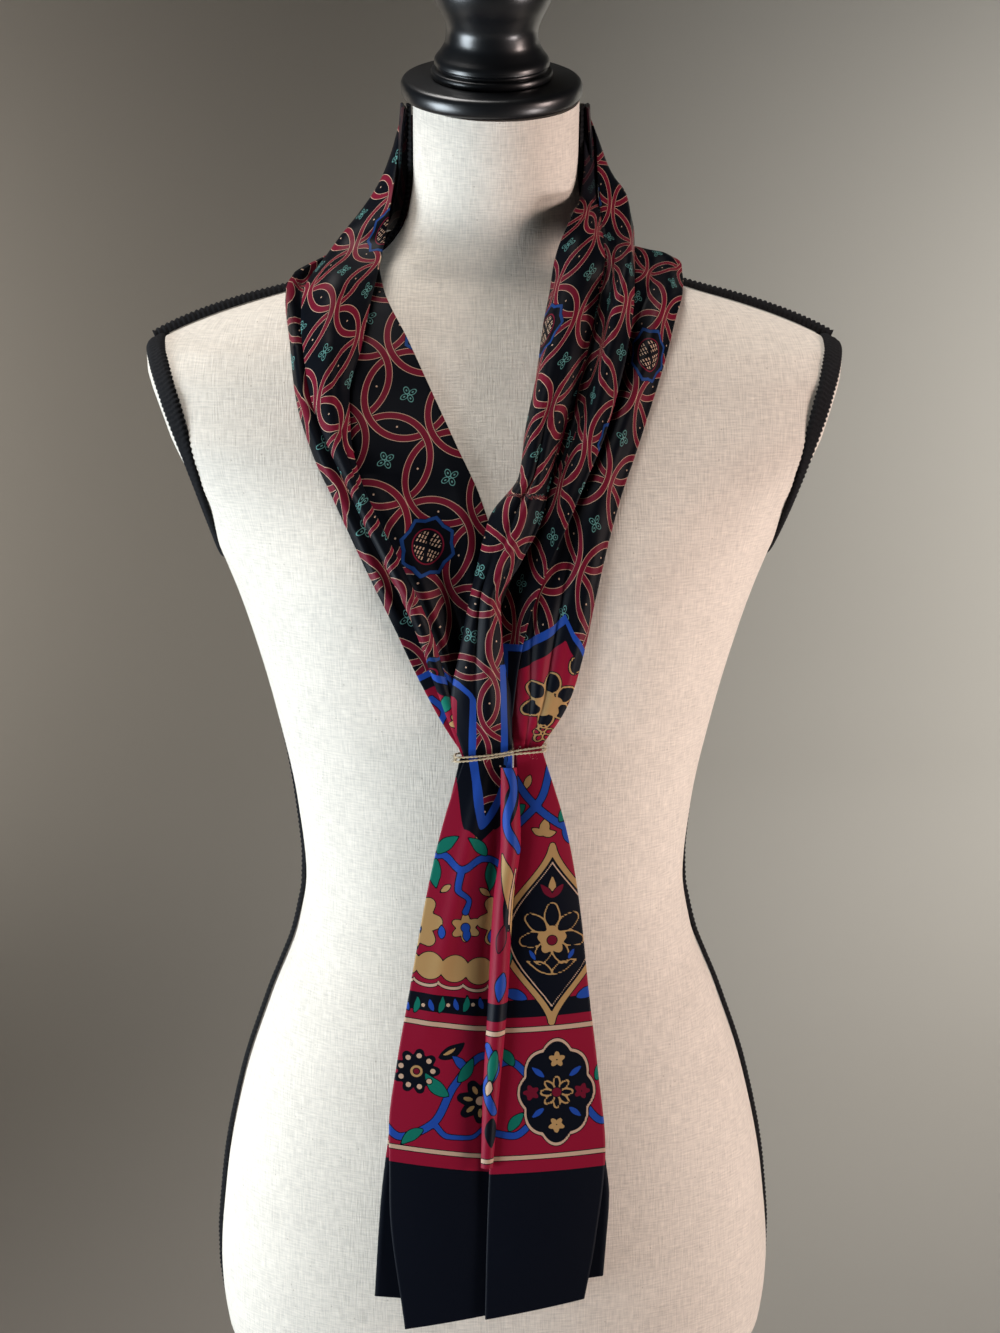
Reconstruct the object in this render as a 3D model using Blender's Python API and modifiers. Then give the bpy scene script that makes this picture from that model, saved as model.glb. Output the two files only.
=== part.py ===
"""A long silk cravat, tied with twine, on a limbless dress form with a round stand.

+X is the wearer's left, the front faces -Y and +Z is up. The origin is the middle of the
stand's underside. Tables and dimensions are in millimetres and degrees.
"""

import math

import bmesh
import bpy
import numpy as np
from mathutils import Vector

MM = 0.001
GAP = 0.3

# ---------------------------------------------------------------- driving dimensions

# Dress form, one row for each level: height over the floor, half width, depth in front of
# and behind the level's centre, that centre's y, squareness of the section, forward lean.
FORM = (
    (655, 118, 74, 90, 0, 2.2, 0),
    (659, 138, 90, 106, 0, 2.2, 0),
    (667, 152, 99, 116, 0, 2.2, 0),
    (683, 163, 105, 123, 0, 2.2, 0),
    (723, 167, 107, 126, 0, 2.2, 0),
    (773, 163, 106, 122, 0, 2.2, 0),
    (835, 151, 103, 111, 0, 2.2, 0),
    (889, 133, 96, 98, 0, 2.2, 0),
    (931, 117, 89, 89, 0, 2.2, 0),
    (963, 112, 86, 86, 0, 2.2, 0),
    (1005, 116, 90, 87, 0, 2.2, 0),
    (1065, 128, 108, 93, 0, 2.3, 0),
    (1113, 141, 119, 99, 0, 2.4, 0),
    (1145, 152, 121, 103, 0, 2.5, 0),
    (1183, 172, 113, 106, 0, 2.5, 0),
    (1200, 190, 106, 106, 0, 2.5, 0),
    (1224, 211, 96, 103, 0, 2.5, 0),
    (1249, 214, 84, 96, 0, 2.5, 0),
    (1267, 204, 76, 88, 0, 2.3, 0),
    (1277, 188, 71, 83, 0, 2.1, 0),
    (1289, 160, 65, 76, 0, 2.0, 0),
    (1298, 132, 60, 71, 0, 2.0, 0),
    (1306, 104, 56, 66, 0, 2.0, 0),
    (1316, 78, 52, 61, -2, 2.0, 0),
    (1330, 58, 48, 55, -5, 2.0, 2),
    (1347, 49, 46, 50, -9, 2.0, 6),
    (1370, 46, 46, 48, -14, 2.0, 12),
    (1390, 46, 46, 46, -19, 2.0, 17),
    (1407.7, 46, 46, 46, -23, 2.0, 20),
)
ARC_POINTS = 17
SHOULDER_LEVELS = (1212, 1237, 1259)
BODY_LEVELS = (
    712, 741, 770, 799, 827, 856, 884, 912,
    942, 970, 998, 1022, 1042, 1058, 1074, 1092, 1116, 1142, 1171,
)
BUST_SIDE = 82
BUST_HEIGHT = 1137
BUST_SPREAD = 46
BUST_RISE = 50
BUST_DEPTH = 10

# Arm plates close the armholes: height over the floor and distance from the centre plane.
ARM_PLATE = (
    (1145, 153), (1170, 159), (1183, 160.5), (1200, 167), (1224, 178.5),
    (1249, 188.5), (1272, 196.5), (1285, 199),
)
ARM_PLATE_DOME = 5
ARMHOLE_CENTRE = 1222
ARMHOLE_FOOT = 1168

SEAM_FLAT = 6
# Armhole braid: height over the floor and width, full at the shoulder, narrow at the foot.
ARMHOLE_BRAID_WIDE = ((1190, 6), (1240, 10))
BRAID_THICKNESS = 2.4
BRAID_SEAT = 0.9
RIDGE_BRAID_WIDTH = 9
# Braid along the neck and shoulder: height over the floor and thickness, fuller on the shoulder.
RIDGE_BRAID_FULL = ((1290, 5), (1300, 4.6), (1308, 3.4), (1335, 2.4), (1404, 2.4))
# Side seam: height over the floor and distance behind the centre plane.
SIDE_SEAM = ((668, 14), (720, 10), (790, 5), (860, 3.5), (930, 6), (1000, 12), (1070, 16.5), (1130, 18))

CAP_RADIUS = 50
CAP_THICKNESS = 11
CAP_CENTRE = (-2.5, -23, 1408)
CAP_LEAN = 20
# Turned finial: radius and height over the cap, from the top down.
FINIAL = (
    (0, 79), (12, 78), (24, 73.5), (32, 66), (34.5, 57), (34, 49), (31.5, 41), (27.5, 33),
    (25.2, 26), (25.6, 20), (28.5, 14), (31.5, 9.6), (31.7, 7.4), (30.2, 6.2), (30.6, 5),
    (33, 4.4), (33.6, 2.4), (33, 0.4), (0, 0.3),
)

STAND_RADIUS = 180
STAND_THICKNESS = 20
POLE_RADIUS = 12.5
SOCKET_RADIUS = 38
SOCKET_HEIGHT = 14

SILK_WALL = 1.4
TIE_LEVEL = 1058
TIE_SLOPE = 0.12
SEAM = 0.6
TWINE_RADIUS = 0.65
TIE_MIDDLE = (-1, -113.6)
TIE_HALF = (24.2, 5.5)
TIE_SQUARE = 5


def tie_height(x):
    """Height of the tie over the floor at x: it sits a little higher on the wearer's left."""
    return TIE_LEVEL + TIE_SLOPE * x


# Stretches of the cravat in front of the form. Each row is a section across the silk: x,
# height and stand-off of the first edge, the same of the second edge, and how far the middle
# is crowned. The stand-off is counted forward from the form's front surface, and beside the
# neck from the form's middle.
RIGHT_PANEL = (
    (-93, 1313, 8, -72, 1322, 6, 0),
    (-112, 1304, 10, -66, 1322, 5, 2),
    (-115, 1297, 8, -59, 1304, 4, 3),
    (-112, 1276, 4, -52, 1276, 2, 3),
    (-108, 1245, 3, -37, 1249, 1.5, 2),
    (-99, 1217, 3, -24, 1221, 1.5, 2),
    (-88, 1194, 3, -12, 1195, 1.5, 1),
    (-75, 1167, 3, -6, 1174, 1.5, 1),
    (-60, 1136, 3, -4, 1148, 1.5, 1),
    (-45, 1102, 3.5, -3, 1121, 2, 0),
    (-30, 1072, 4, -4, 1088, 3.5, 0),
    (-20, tie_height(-20) + SEAM, 5, -5, tie_height(-5) + SEAM, 5, 0),
)
RIGHT_LAPEL = (
    (-65, 1336, -25.5, -50.8, 1401.5, -17.5, 2),
    (-72, 1336, -14, -53, 1384, -10, 2),
    (-84, 1330, 0, -56, 1364, 4, 2),
    (-97, 1317, 20, -60, 1340, 21, 3),
    (-105, 1302, 32, -65, 1316, 20, 3),
    (-106, 1286, 22, -69, 1300, 14, 3),
    (-104, 1268, 17, -75, 1272, 12, 3),
    (-100, 1246, 15, -81, 1248, 12, 2),
    (-92, 1224, 13, -80, 1226, 12, 2),
    (-82, 1204, 12, -75, 1205, 12, 1),
    (-71, 1181, 11, -65, 1183, 11, 1),
    (-58, 1156, 10, -52, 1158, 10, 1),
    (-47, 1132, 9, -41, 1134, 9, 1),
    (-34, 1094, 8, -29, 1095, 8, 1),
    (-21, tie_height(-21) + SEAM, 7.2, -17, tie_height(-17) + SEAM, 7.2, 0),
)
LEFT_BAND = (
    (46, 1354, 8, 54, 1351, 6, 1),
    (39, 1341, 22, 57, 1340, 18, 3),
    (31, 1318, 12, 57, 1322, 30, 5),
    (29, 1304, 7, 54, 1307, 24, 6),
    (25, 1286, 5, 50, 1289, 16, 6),
    (20, 1256, 4, 42, 1258, 12, 5),
    (14, 1230, 4, 33, 1231, 10, 5),
    (10, 1206, 5, 25, 1204, 9, 4),
    (-6, 1185, 6, 19, 1183, 10.5, 3),
    (-12, 1164, 6.5, 9, 1163, 8, 3),
    (-17, 1143, 7, -2, 1142, 8, 3),
    (-22, 1117, 8, -0.5, 1115, 8.5, 2),
    (-27, 1087, 11, 4, 1087, 9.5, 1),
    (-20, tie_height(-20) + SEAM, 9, 5, tie_height(5) + SEAM, 9, 0),
)
LEFT_COLLAR = (
    (50.3, 1401.5, -17.5, 65, 1336, -25.5, 2),
    (55.5, 1386, -8, 68, 1342, -14, 3),
    (56.5, 1371, 0, 74, 1345, -4, 4),
    (57, 1356, 8, 77, 1336, 6, 4),
    (58, 1341, 17, 76, 1323, 17, 4),
    (59, 1325, 23, 73, 1307, 23, 4),
    (57, 1306, 22, 71, 1291, 21, 4),
    (53, 1288, 14, 68, 1273, 16, 3),
    (46, 1262, 10, 62, 1250, 12, 3),
    (38, 1236, 8, 54, 1226, 10, 2),
    (30, 1212, 7, 44, 1204, 8.5, 2),
    (19, 1186, 5.5, 33, 1180, 8, 2),
    (8, 1160, 6, 22, 1156, 8, 1),
    (-1, 1134, 5, 13, 1131, 8, 1),
    (-3, 1108, 5.5, 8, 1106, 7.5, 0),
    (0, 1080, 6.5, 5, 1079, 7, 0),
)
LEFT_PANEL = (
    (63, 1331.5, 0.5, 99, 1315, 1.5, 1),
    (60, 1328, 0, 100, 1315, 2, 2),
    (60, 1322, 8, 104, 1309, 8, 3),
    (58, 1312, 8, 105, 1302, 10, 3),
    (53, 1300, 4, 103, 1293, 9, 3),
    (48, 1287, 2, 98, 1285, 7, 3),
    (41, 1266, 1.5, 90, 1268, 3, 2),
    (30, 1240, 1.5, 81, 1243, 2, 2),
    (22, 1216, 1.5, 72, 1219, 2, 2),
    (15, 1191, 1.5, 62, 1193, 2, 2),
    (9, 1166, 1.5, 54, 1167, 2, 2),
    (4, 1141, 1.5, 48, 1142, 2, 2),
    (2, 1116, 2, 43, 1116, 2, 2),
    (4, 1088, 3, 35, 1086, 3, 2),
    (7, tie_height(7) + SEAM, 5, 21, tie_height(21) + SEAM, 5, 0),
)

# Stretches round the back of the neck. Each row: angle round the form from its front, height
# and stand-off of the upper edge, the same of the lower edge, and the crown.
NECK_BAND = (
    (-86, 1397, 4, -85, 1338, 7, 0.5),
    (-98, 1395, 4, -98, 1337, 8, 0),
    (-110, 1393, 6, -112, 1336, 12, 1),
    (-130, 1389, 13, -130, 1335, 15, 3),
    (-155, 1385, 17, -155, 1333, 15, 3),
    (180, 1384, 18, 180, 1332, 14, 3),
    (155, 1385, 17, 155, 1333, 15, 3),
    (130, 1389, 13, 130, 1335, 15, 3),
    (110, 1393, 5, 112, 1336, 11, 1),
    (98, 1395, 4, 98, 1337, 8, 0),
    (86, 1397, 4, 85, 1338, 7, 0.5),
)
NAPE_FALL = (
    (-88, 1331, 10, -87, 1316, 15, 2),
    (-116, 1336, 7, -112, 1308, 13, 2),
    (-150, 1343, 6, -146, 1299, 7, 2),
    (180, 1345, 6, 180, 1296, 5, 2),
    (150, 1343, 6, 146, 1299, 7, 2),
    (116, 1336, 7, 112, 1306, 14, 2),
    (93, 1333, 6, 91, 1316, 21, 2),
)

# Tails under the tie. Each row: x, height and y of the first edge, the same of the second.
RIGHT_TAIL_FRONT = (
    (-20, tie_height(-20) - SEAM, -116, 5, tie_height(5) - SEAM, -116, 0),
    (-31, 1021, -117, 5, 1022, -117, 2),
    (-39, 987, -116, 4, 988, -116, 2),
    (-46, 949, -115, 2, 948, -115, 2),
    (-51, 920, -115, 1, 920, -115, 2),
    (-57, 886, -115, 0, 885, -115, 2),
    (-62, 845, -115, -1, 844, -115, 2),
    (-62, 804, -115, -2, 803, -115, 2),
    (-54, 727, -115, -2, 736, -115, 1),
)
RIGHT_TAIL_BACK = (
    (-22, tie_height(-22) - SEAM, -111, -2, tie_height(-2) - SEAM, -111, 0),
    (-30, 1021, -113, -1, 1020, -112, 0),
    (-38, 987, -112, -1, 986, -112, 0),
    (-45, 947, -111, -2, 947, -111, 0),
    (-50, 919, -111, -4, 918, -111, 0),
    (-56, 884, -111, -5, 884, -111, 0),
    (-62, 843, -110.5, -9, 843, -111, 0),
    (-67, 802, -110.5, -13, 801, -111, 0),
    (-71, 745, -110.5, -18, 740, -111, 0),
)
LEFT_TAIL_FRONT = (
    (8, tie_height(8) - SEAM, -115, 21, tie_height(21) - SEAM, -114, 0),
    (8, 1010, -118, 35.5, 1010, -117, 2),
    (6, 971, -119, 42, 971, -116, 2),
    (2, 926, -119, 47, 925, -116, 2),
    (-2, 880, -119, 52.5, 879, -116, 2),
    (-6, 833, -119, 57, 832, -116, 2),
    (-8, 780, -119, 52, 779, -116, 2),
    (-9, 734, -119, 46, 744, -116, 1),
)
LEFT_TAIL_BACK = (
    (7, tie_height(7) - SEAM, -111.5, 20.5, tie_height(20.5) - SEAM, -112, 0),
    (7, 1009, -112, 35, 1009, -112, 0),
    (6, 969, -111, 41, 969, -111, 0),
    (5, 924, -111, 46, 923, -111, 0),
    (4, 878, -111, 52, 877, -111, 0),
    (4, 831, -111, 57, 830, -110.5, 0),
    (4, 804, -111, 60, 803, -110.5, 0),
    (4, 776, -111, 58.5, 776, -110.5, 0),
    (4, 748, -111, 57, 755, -110.5, 0),
)
LEFT_TAIL_ROLL = (
    (0, 1051, -118.6, 7, 1051, -118.6, 2),
    (0, 1012, -120.8, 9, 1012, -121, 4),
    (-4, 978, -121, 5, 978, -121.2, 4),
    (-7, 921, -121, 2, 921, -121.2, 3.5),
    (-10, 863, -121, -3, 863, -121.2, 2.5),
    (-11, 825, -120.9, -6, 825, -121, 1.5),
)

# Folds: where across the silk (0 to 1) a fold starts and ends, its height (negative for a
# trough), its half width across, and where along the stretch (0 to 1) it starts and ends.
RIGHT_PANEL_FOLDS = (
    (0.10, 0.10, 7, 0.09, -0.3, 0.62),
    (0.24, 0.22, -2, 0.06, -0.2, 0.55),
)
RIGHT_LAPEL_FOLDS = ((0.30, 0.60, 2, 0.20, 0.0, 0.5),)
LEFT_BAND_FOLDS = (
    (0.88, 0.80, -3, 0.14, 0.05, 0.55),
    (0.35, 0.30, 1.5, 0.16, 0.15, 0.75),
)
LEFT_COLLAR_FOLDS = (
    (0.62, 0.70, 4, 0.16, 0.0, 0.75),
    (0.30, 0.25, -2, 0.10, 0.1, 0.7),
)
LEFT_PANEL_FOLDS = (
    (0.62, 0.52, -2, 0.07, 0.02, 0.6),
    (0.82, 0.74, 5, 0.11, 0.0, 0.75),
)
NECK_BAND_FOLDS = (
    (0.38, 0.42, -3, 0.09, 0.15, 0.85),
    (0.72, 0.66, 3, 0.12, 0.2, 0.8),
)
NAPE_FALL_FOLDS = ((0.55, 0.6, -1.5, 0.10, 0.1, 0.9),)
TAIL_FOLDS = (
    (0.50, 0.22, 1.5, 0.10, -0.05, 0.5),
    (0.80, 0.88, -1.5, 0.10, 0.0, 0.8),
)

LINEN = (0.70, 0.62, 0.52)
BRAID_BLACK = (0.012, 0.012, 0.013)
PAINTED_BLACK = (0.008, 0.009, 0.011)
SILK_PRINT = (0.035, 0.018, 0.025)
SILK_BORDER = (0.25, 0.012, 0.035)
TWINE_CREAM = (0.62, 0.52, 0.38)


# ---------------------------------------------------------------- curves through the tables


def smooth(places, values, at):
    """Monotone cubic curve through (places, values), each value a row of numbers."""
    x = np.asarray(places, float)
    y = np.asarray(values, float)
    if y.ndim == 1:
        y = y[:, None]
    step = np.diff(x)[:, None]
    slope = np.diff(y, axis=0) / step
    tangent = np.zeros_like(y)
    tangent[0] = slope[0]
    tangent[-1] = slope[-1]
    before, after = slope[:-1], slope[1:]
    same_way = before * after > 0
    weight_a = 2 * step[1:] + step[:-1]
    weight_b = step[1:] + 2 * step[:-1]
    safe_before = np.where(same_way, before, 1)
    safe_after = np.where(same_way, after, 1)
    mean = (weight_a + weight_b) / (weight_a / safe_before + weight_b / safe_after)
    tangent[1:-1] = np.where(same_way, mean, 0)
    at = np.clip(at, x[0], x[-1])
    index = np.clip(np.searchsorted(x, at, side="right") - 1, 0, len(x) - 2)
    width = (x[index + 1] - x[index])[..., None]
    t = (at - x[index])[..., None] / width
    return (
        (1 + 2 * t) * (1 - t) ** 2 * y[index]
        + t * (1 - t) ** 2 * width * tangent[index]
        + t * t * (3 - 2 * t) * y[index + 1]
        + t * t * (t - 1) * width * tangent[index + 1]
    )


def form_level(height):
    """Half width, front, back, centre y, squareness and lean of the form at a height."""
    table = np.asarray(FORM, float)
    return smooth(table[:, 0], table[:, 1:], np.asarray(height, float))


def arm_plate(height):
    table = np.asarray(ARM_PLATE, float)
    return np.interp(height, table[:, 0], table[:, 1])


def bust(x, height):
    side = (np.abs(x) - BUST_SIDE) / BUST_SPREAD
    rise = (height - BUST_HEIGHT) / BUST_RISE
    return BUST_DEPTH * np.exp(-(side**2) - rise**2)


def form_front(x, height):
    """y of the form's front surface at x and height, and of its middle outside its width."""
    level = form_level(height)
    half, front, centre, square = level[..., 0], level[..., 1], level[..., 3], level[..., 4]
    across = np.abs(x) / half
    across = across / (1 + across**12) ** (1 / 12)
    depth = front * (1 - across**square) ** (1 / square)
    return centre - depth - bust(x, height)


def form_round(angle, height, stand_off):
    """Point of the form's surface at an angle from its front, moved out level with it."""
    level = form_level(height)
    half, front, back, centre, square, lean = [level[..., k] for k in range(6)]
    turn = np.radians(angle)
    sine, cosine = np.sin(turn), np.cos(turn)
    depth = np.where(cosine >= 0, front, back)
    reach = (np.abs(sine / half) ** square + np.abs(cosine / depth) ** square) ** (-1 / square)
    x = reach * sine
    y = -reach * cosine
    out_x = np.sign(x) * np.abs(x) ** (square - 1) / half**square
    out_y = np.sign(y) * np.abs(y) ** (square - 1) / depth**square
    length = np.hypot(out_x, out_y)
    x = x + stand_off * out_x / length
    y = y + stand_off * out_y / length
    lifted = height + y * np.tan(np.radians(lean))
    y = y + centre - np.where(cosine > 0, bust(x, height) * cosine, 0)
    return np.stack([x, y, lifted], -1)


# ---------------------------------------------------------------- scene helpers


def clear_scene():
    for thing in list(bpy.data.objects):
        bpy.data.objects.remove(thing, do_unlink=True)


def collection(name):
    found = bpy.data.collections.new(name)
    bpy.context.scene.collection.children.link(found)
    return found


def material(name, colour, roughness, metallic=0.0):
    made = bpy.data.materials.new(name)
    made.use_nodes = True
    shader = made.node_tree.nodes["Principled BSDF"]
    shader.inputs["Base Color"].default_value = (*colour, 1)
    shader.inputs["Roughness"].default_value = roughness
    shader.inputs["Metallic"].default_value = metallic
    made.diffuse_color = (*colour, 1)
    return made


def mesh_object(name, shape, finish, sharp=40):
    """Object of a bmesh, shaded smooth but for its edges over the sharp angle."""
    mesh = bpy.data.meshes.new(name)
    shape.to_mesh(mesh)
    shape.free()
    mesh.shade_smooth()
    mesh.set_sharp_from_angle(angle=math.radians(sharp))
    made = bpy.data.objects.new(name, mesh)
    made.data.materials.append(finish)
    CRAVAT_ON_FORM.objects.link(made)
    return made


def loft(rings, closed_ends):
    """Skin a grid of points: rows of closed rings, with flat faces on both ends if asked."""
    shape = bmesh.new()
    rows = [[shape.verts.new(Vector(point) * MM) for point in ring] for ring in rings]
    count = len(rows[0])
    for low, high in zip(rows, rows[1:]):
        for k in range(count):
            shape.faces.new((low[k], low[(k + 1) % count], high[(k + 1) % count], high[k]))
    if closed_ends:
        shape.faces.new(rows[0])
        shape.faces.new(rows[-1])
    else:
        for k in range(count):
            low, high = rows[-1], rows[0]
            shape.faces.new((low[k], low[(k + 1) % count], high[(k + 1) % count], high[k]))
    bmesh.ops.recalc_face_normals(shape, faces=shape.faces)
    return shape


def turned(name, profile, place, lean, finish, steps=30):
    """Turned piece from its profile (radius, height), top to bottom at +X."""
    shape = bmesh.new()
    points = [shape.verts.new((radius * MM, 0, height * MM)) for radius, height in profile]
    for above, below in zip(points, points[1:]):
        shape.edges.new((above, below))
    made = mesh_object(name, shape, finish)
    made.location = Vector(place) * MM
    made.rotation_euler = (math.radians(lean), 0, 0)
    screw = made.modifiers.new("turn", "SCREW")
    screw.steps = steps
    screw.render_steps = steps
    screw.use_merge_vertices = True
    screw.merge_threshold = 0.0001
    screw.use_smooth_shade = True
    return made


# ---------------------------------------------------------------- dress form


def torso_ring(height):
    """Section of the form: front arc, side with its flat or arm plate, back arc, side."""
    half, front, back, centre, square, lean = form_level(height)
    edge = half * (1 - (0.5 * SEAM_FLAT / front) ** square) ** (1 / square)
    if height > ARM_PLATE[0][0]:
        edge = min(edge, float(arm_plate(height)))
    arcs = []
    for depth, way in ((front, -1), (back, 1)):
        corner = math.asin(min(1, edge / half) ** (square / 2))
        turns = np.linspace(-corner, corner, ARC_POINTS)
        x = half * np.sign(turns) * np.abs(np.sin(turns)) ** (2 / square)
        y = way * depth * np.abs(np.cos(turns)) ** (2 / square)
        if way < 0:
            y = y - bust(x, height) * np.cos(turns)
        arcs.append(np.stack([x, y], -1))
    points = list(arcs[0])
    for corner, side in ((arcs[1][-1], 1), (arcs[0][0], -1)):
        start = points[-1]
        for share in (0.33, 0.67):
            middle = start + (corner - start) * share
            dome = ARM_PLATE_DOME * min(1, abs(corner[1] - start[1]) / 90) ** 2
            points.append(middle + np.array([side * dome, 0]))
        if side > 0:
            points.extend(arcs[1][::-1])
    rise = math.tan(math.radians(lean))
    return [(x, y + centre, height + y * rise) for x, y in points]


def make_torso(finish):
    ends = [row[0] for row in FORM if row[0] <= BODY_LEVELS[0] or row[0] >= BODY_LEVELS[-1]]
    levels = sorted([*ends, *BODY_LEVELS, *SHOULDER_LEVELS])
    return mesh_object("form_torso", loft([torso_ring(z) for z in levels], True), finish, 50)


def surface_normals(points):
    """Outward normals along a path on the form, from the surface round each point."""
    normals = []
    for x, y, height in points:
        level = form_level(height)
        turn = math.degrees(math.atan2(x, -(y - level[3])))
        here = form_round(turn, height, 0.0)
        up = form_round(turn, height + 1, 0.0) - form_round(turn, height - 1, 0.0)
        on = form_round(turn + 1, height, 0.0) - form_round(turn - 1, height, 0.0)
        normal = np.cross(on, up)
        away = here - np.array([0, level[3], height])
        normal *= np.sign(np.dot(normal, away)) / np.linalg.norm(normal)
        normals.append(normal)
    return np.array(normals)


def braid(name, path, width, thickness, finish, closed=False):
    """Flat braid sewn along a path on the form, just clear of the linen."""
    path = np.asarray(path, float)
    normals = surface_normals(path)
    if closed:
        along = np.roll(path, -1, axis=0) - np.roll(path, 1, axis=0)
    else:
        along = np.gradient(path, axis=0)
    along /= np.linalg.norm(along, axis=1)[:, None]
    across = np.cross(normals, along)
    across /= np.linalg.norm(across, axis=1)[:, None]
    section = ((-0.5, 0), (-0.42, 0.8), (0, 1), (0.42, 0.8), (0.5, 0))
    full = np.broadcast_to(thickness, len(path))
    wide = np.broadcast_to(width, len(path))
    rings = []
    for point, normal, side, rising, reach in zip(path, normals, across, full, wide):
        ring = []
        for share, rise in section:
            lift = GAP + BRAID_SEAT + rise * rising
            ring.append(point + side * share * reach + normal * lift)
        rings.append(ring)
    return mesh_object(name, loft(rings, not closed), finish, 60)


def armhole_path(side):
    """Closed path round an armhole, just inside the edge of its arm plate."""
    path = []
    for turn in np.linspace(0, 2 * math.pi, 28, endpoint=False):
        near, far = 0.0, 90.0
        for _ in range(30):
            reach = (near + far) / 2
            y = reach * math.cos(turn)
            z = ARMHOLE_CENTRE + reach * math.sin(turn)
            level = form_level(z)
            inset = np.interp(z, (ARMHOLE_FOOT, ARMHOLE_CENTRE), (2, 5.2))
            x = float(arm_plate(z)) - inset
            depth = level[1] if y < 0 else level[2]
            share = (x / level[0]) ** level[4] + (abs(y) / depth) ** level[4]
            if share < 1:
                near = reach
            else:
                far = reach
        path.append((side * x, y, z))
    return path


def make_braids(finish):
    for side, label in ((-1, "right"), (1, "left")):
        heights = (1404, 1386, 1366, 1348, 1332, 1320, 1311, 1303, 1295, 1287, 1280)
        full = np.interp(heights, *np.transpose(RIDGE_BRAID_FULL))
        ridge = []
        for height in heights:
            level = form_level(height)
            ridge.append((side * level[0], level[3], height))
        braid("braid_shoulder_" + label, ridge, RIDGE_BRAID_WIDTH, full, finish)
        hole = armhole_path(side)
        wide = np.interp([place[2] for place in hole], *np.transpose(ARMHOLE_BRAID_WIDE))
        braid("braid_armhole_" + label, hole, wide, BRAID_THICKNESS, finish, True)
        seam = []
        heights = (*np.linspace(SIDE_SEAM[-1][0], BODY_LEVELS[0], 19), 697, 683, 675, SIDE_SEAM[0][0])
        for height in heights:
            level = form_level(height)
            behind = np.interp(height, *np.transpose(SIDE_SEAM))
            edge = level[0] * (1 - (behind / level[2]) ** level[4]) ** (1 / level[4])
            seam.append((side * edge, level[3] + behind, height))
        braid("braid_side_" + label, seam, RIDGE_BRAID_WIDTH, BRAID_THICKNESS, finish)


def make_cap(finish):
    cap = (
        (0, CAP_THICKNESS), (CAP_RADIUS - 3.5, CAP_THICKNESS), (CAP_RADIUS - 1, CAP_THICKNESS - 1),
        (CAP_RADIUS, CAP_THICKNESS - 3.5), (CAP_RADIUS, 3), (CAP_RADIUS - 1, 0.8),
        (CAP_RADIUS - 3, 0), (0, 0),
    )
    turned("neck_cap", cap, CAP_CENTRE, CAP_LEAN, finish, 40)
    lean = math.radians(CAP_LEAN)
    seat = Vector(CAP_CENTRE) + Vector((0, -math.sin(lean), math.cos(lean))) * CAP_THICKNESS
    turned("finial", FINIAL, seat, CAP_LEAN, finish)


def make_stand(finish):
    foot = FORM[0][0]
    socket = (
        (0, 0), (SOCKET_RADIUS, 0), (SOCKET_RADIUS, -3),
        (SOCKET_RADIUS - 10, -SOCKET_HEIGHT), (0, -SOCKET_HEIGHT),
    )
    turned("pole_socket", socket, (0, 0, foot - GAP), 0, finish)
    top = foot - 2 * GAP - SOCKET_HEIGHT
    bottom = STAND_THICKNESS + GAP
    pole = ((0, top), (POLE_RADIUS, top), (POLE_RADIUS, bottom), (0, bottom))
    turned("pole", pole, (0, 0, 0), 0, finish, 24)
    stand = (
        (0, STAND_THICKNESS), (30, STAND_THICKNESS), (60, STAND_THICKNESS - 4),
        (150, STAND_THICKNESS - 9), (STAND_RADIUS - 5, 9), (STAND_RADIUS - 1, 6),
        (STAND_RADIUS, 3), (STAND_RADIUS - 1, 0), (0, 0),
    )
    turned("stand_base", stand, (0, 0, 0), 0, finish, 48)


# ---------------------------------------------------------------- silk


def fold_relief(folds, across, along):
    """Height of the folds over the plain silk at (across, along), each 0 to 1."""
    relief = np.zeros_like(across)
    for first, last, height, half_width, start, end in folds:
        share = (along - start) / (end - start)
        middle = first + (last - first) * np.clip(share, 0, 1)
        swell = np.sin(np.pi * np.clip(share, 0, 1)) ** 0.7
        relief += height * swell * np.exp(-(((across - middle) / half_width) ** 2))
    return relief


def grid_normals(points, away_from):
    """Unit normals of a grid of points, turned away from the given points."""
    along = np.gradient(points, axis=0)
    across = np.gradient(points, axis=1)
    normals = np.cross(along, across)
    normals /= np.linalg.norm(normals, axis=2)[..., None]
    way = np.sign(np.sum(normals * (points - away_from)))
    return normals * way


def silk_sheet(rows, folds, place, stations, columns):
    """Points of a stretch of silk on its inner side, and its normals away from the form."""
    table = np.asarray(rows, float)
    middle = [place(*(0.5 * (row[0:3] + row[3:6]))) for row in table]
    steps = np.linalg.norm(np.diff(middle, axis=0), axis=1)
    places = np.concatenate([[0], np.cumsum(steps)])
    places /= places[-1]
    along = np.linspace(0, 1, stations)
    sections = smooth(places, table, along)
    across = np.linspace(0, 1, columns)
    first = sections[:, None, 0:3]
    second = sections[:, None, 3:6]
    mixed = first + (second - first) * across[None, :, None]
    points = place(mixed[..., 0], mixed[..., 1], mixed[..., 2])
    core = points.copy()
    core[..., 0] *= 0.3
    core[..., 1] = 0
    normals = grid_normals(points, core)
    crown = sections[:, None, 6] * 4 * across * (1 - across)
    grid_across, grid_along = np.meshgrid(across, along)
    lift = crown + fold_relief(folds, grid_across, grid_along)
    points = points + normals * lift[..., None]
    return points, grid_normals(points, core)


def before_form(x, height, stand_off):
    return np.stack([x, form_front(x, height) - stand_off, height], -1)


def hanging(x, height, y):
    return np.stack([x, y, height], -1)


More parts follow.
